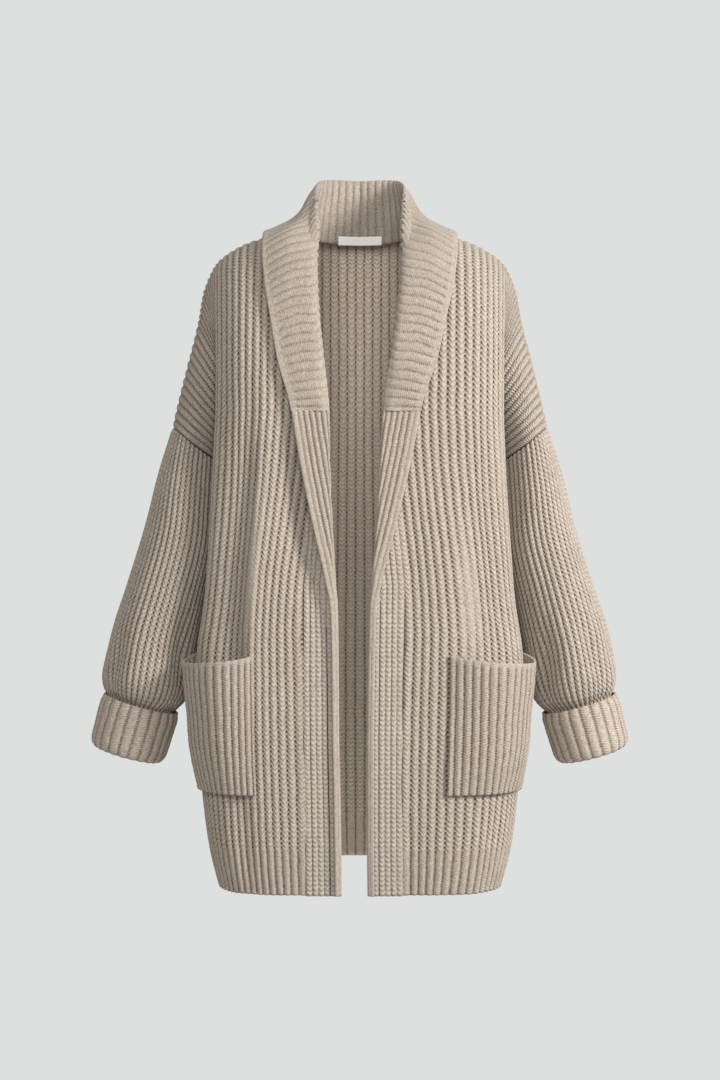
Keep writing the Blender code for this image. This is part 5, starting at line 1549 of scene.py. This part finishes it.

# %% [markdown]
# ## Neck label
#
# The real label is a short ribbon of white polyester, woven so finely that the eye sees
# a faint sheen of lines along it; that sheen is painted into its colour as pale and paler
# bands.  It could be a flat box.  It is a thin sheet bent along the neck seam instead,
# because it is sewn on there.  It carries no lettering.

# %% Woven label
LABEL_HALF_WIDTH, LABEL_TOP, LABEL_BOTTOM = 0.029, 0.0135, 0.0015
LABEL_THICKNESS, LABEL_CLEAR, LABEL_WALL = 0.0008, 0.0030, 0.0006
LABEL_WEAVE = 2.2        # the wave scale that sets the woven lines 0.14 mm apart
LABEL_ROUGHNESS = 0.55
woven = bpy.data.materials.new("white polyester label, woven")
woven.use_nodes = True
tree = woven.node_tree
weave = add(tree, "TexWave", {"Vector": add(tree, "UVMap", {}, uv_map="Knitting"),
                              "Scale": LABEL_WEAVE},
            wave_type="BANDS", bands_direction="Y")
# Painted sheen: the woven lines' sheen is painted as slightly darker and lighter white bands.
painted_sheen_lines = add(tree, "ValToRGB", {0: weave}).node
painted_sheen_lines.color_ramp.elements[0].color = hex_colour("E4E2DC")
painted_sheen_lines.color_ramp.elements[1].color = hex_colour("F4F3EF")
tree.links.new(painted_sheen_lines.outputs[0], tree.nodes["Principled BSDF"].inputs["Base Color"])
tree.nodes["Principled BSDF"].inputs["Roughness"].default_value = LABEL_ROUGHNESS
print("label finish:", woven.name)

# %% The label
seam_points = collar_sections(np.linspace(-8.0, 8.0, 33))[:, 0]
across = np.linspace(-LABEL_HALF_WIDTH, LABEL_HALF_WIDTH, 25)
up = np.linspace(LABEL_BOTTOM, LABEL_TOP, 9)
inside = np.interp(across, seam_points[:, 0], seam_points[:, 1]) - LABEL_CLEAR
grid = np.stack([np.column_stack((across, inside - LABEL_THICKNESS, np.full(25, z))) for z in up])
numbers = np.stack(np.meshgrid(across * 1000, up * 1000), axis=-1)
wear(knitted("neck_label_woven", grid, numbers, numbers * 0.0), "neck_label",
     (woven, woven), LABEL_WALL)

# %% [markdown]
# ## Camera
#
# A cardigan shown for itself is taken from straight in front, so that its hem and
# shoulders stay level.  The lens could be chosen by eye.  It is worked out from a
# distance and from how many metres one pixel covers there, so that sizes in the render
# can be measured.

# %% The camera
PLANE_DISTANCE = 2.30
PIXEL = 0.0013           # metres a pixel at that distance
FRAME_HEIGHT = 1080      # pixels
SENSOR_HEIGHT = 36.0     # mm
CAMERA_HEIGHT = -0.394   # level with the middle of the garment
camera_data = bpy.data.cameras.new("camera")
camera_data.sensor_fit = "VERTICAL"
camera_data.sensor_height = SENSOR_HEIGHT
camera_data.lens = SENSOR_HEIGHT * PLANE_DISTANCE / (FRAME_HEIGHT * PIXEL)
camera = bpy.data.objects.new("camera", camera_data)
camera.location = (0.0, -PLANE_DISTANCE, CAMERA_HEIGHT)
camera.rotation_euler = (math.pi / 2, 0.0, 0.0)
bpy.context.scene.collection.objects.link(camera)
bpy.context.scene.camera = camera
bpy.context.scene.view_settings.view_transform = "Standard"
print("lens", round(camera_data.lens, 1), "mm")

# %% [markdown]
# ## Light
#
# Knitting shows its ribs only when light comes from one side.  A single bare lamp would
# make black shadows, so a large soft light stands low at one side, a weaker one fills
# from the front, and an even room light keeps the hollows readable.  The camera sees a
# plain backdrop in place of that room.

# %% Room and backdrop
ROOM_STRENGTH = 0.46
BACKDROP = "DDE0DE"
world = bpy.data.worlds.new("studio")
bpy.context.scene.world = world
world.use_nodes = True
sky = world.node_tree
room = sky.nodes["Background"]
room.inputs["Color"].default_value = hex_colour("ECEAE6")
room.inputs["Strength"].default_value = ROOM_STRENGTH
paper = sky.nodes.new("ShaderNodeBackground")
paper.inputs["Color"].default_value = hex_colour(BACKDROP)
seen = add(sky, "MixShader", {0: add(sky, "LightPath", {}), 1: room.outputs[0],
                              2: paper.outputs[0]})
sky.links.new(seen, sky.nodes["World Output"].inputs["Surface"])
print("room light", ROOM_STRENGTH)

# %% Soft lights
LIT_POINT = (0.0, 0.0, -0.4)


def softbox(name, place, size, power):
    """A square soft light that looks at the garment's middle."""
    data = bpy.data.lights.new(name, "AREA")
    data.energy = power
    data.size = size
    lamp = bpy.data.objects.new(name, data)
    lamp.location = place
    toward = Vector(LIT_POINT) - Vector(place)
    lamp.rotation_euler = toward.to_track_quat("-Z", "Y").to_euler()
    bpy.context.scene.collection.objects.link(lamp)
    print(name, power, "W,", round(toward.length, 2), "m away")


softbox("key", (2.31, -1.56, 0.66), 1.0, 114.0)
softbox("fill", (0.0, -3.0, 0.75), 1.3, 52.0)

# %% [markdown]
# ## Floor
#
# The garment hangs free in a studio, so the floor is only a pale disc well below it that
# throws a little light up into the hem and the cuffs.

# %% The floor
FLOOR_RADIUS, FLOOR_HEIGHT = 1.2, -1.6
work = bmesh.new()
bmesh.ops.create_circle(work, cap_ends=True, segments=64, radius=FLOOR_RADIUS)
bmesh.ops.translate(work, verts=work.verts, vec=(0.0, 0.0, FLOOR_HEIGHT))
floor_mesh = bpy.data.meshes.new("floor")
work.to_mesh(floor_mesh)
work.free()
floor = bpy.data.objects.new("floor", floor_mesh)
# Matt paint scatters light evenly, so the eye sees a pale ground without a shine.
painted = bpy.data.materials.new("matt studio floor, pale grey paint")
painted.use_nodes = True
paint = painted.node_tree.nodes["Principled BSDF"].inputs
paint["Base Color"].default_value = hex_colour(BACKDROP)
paint["Roughness"].default_value = 0.9
floor_mesh.materials.append(painted)
bpy.context.scene.collection.objects.link(floor)
print("floor at", FLOOR_HEIGHT, "m")
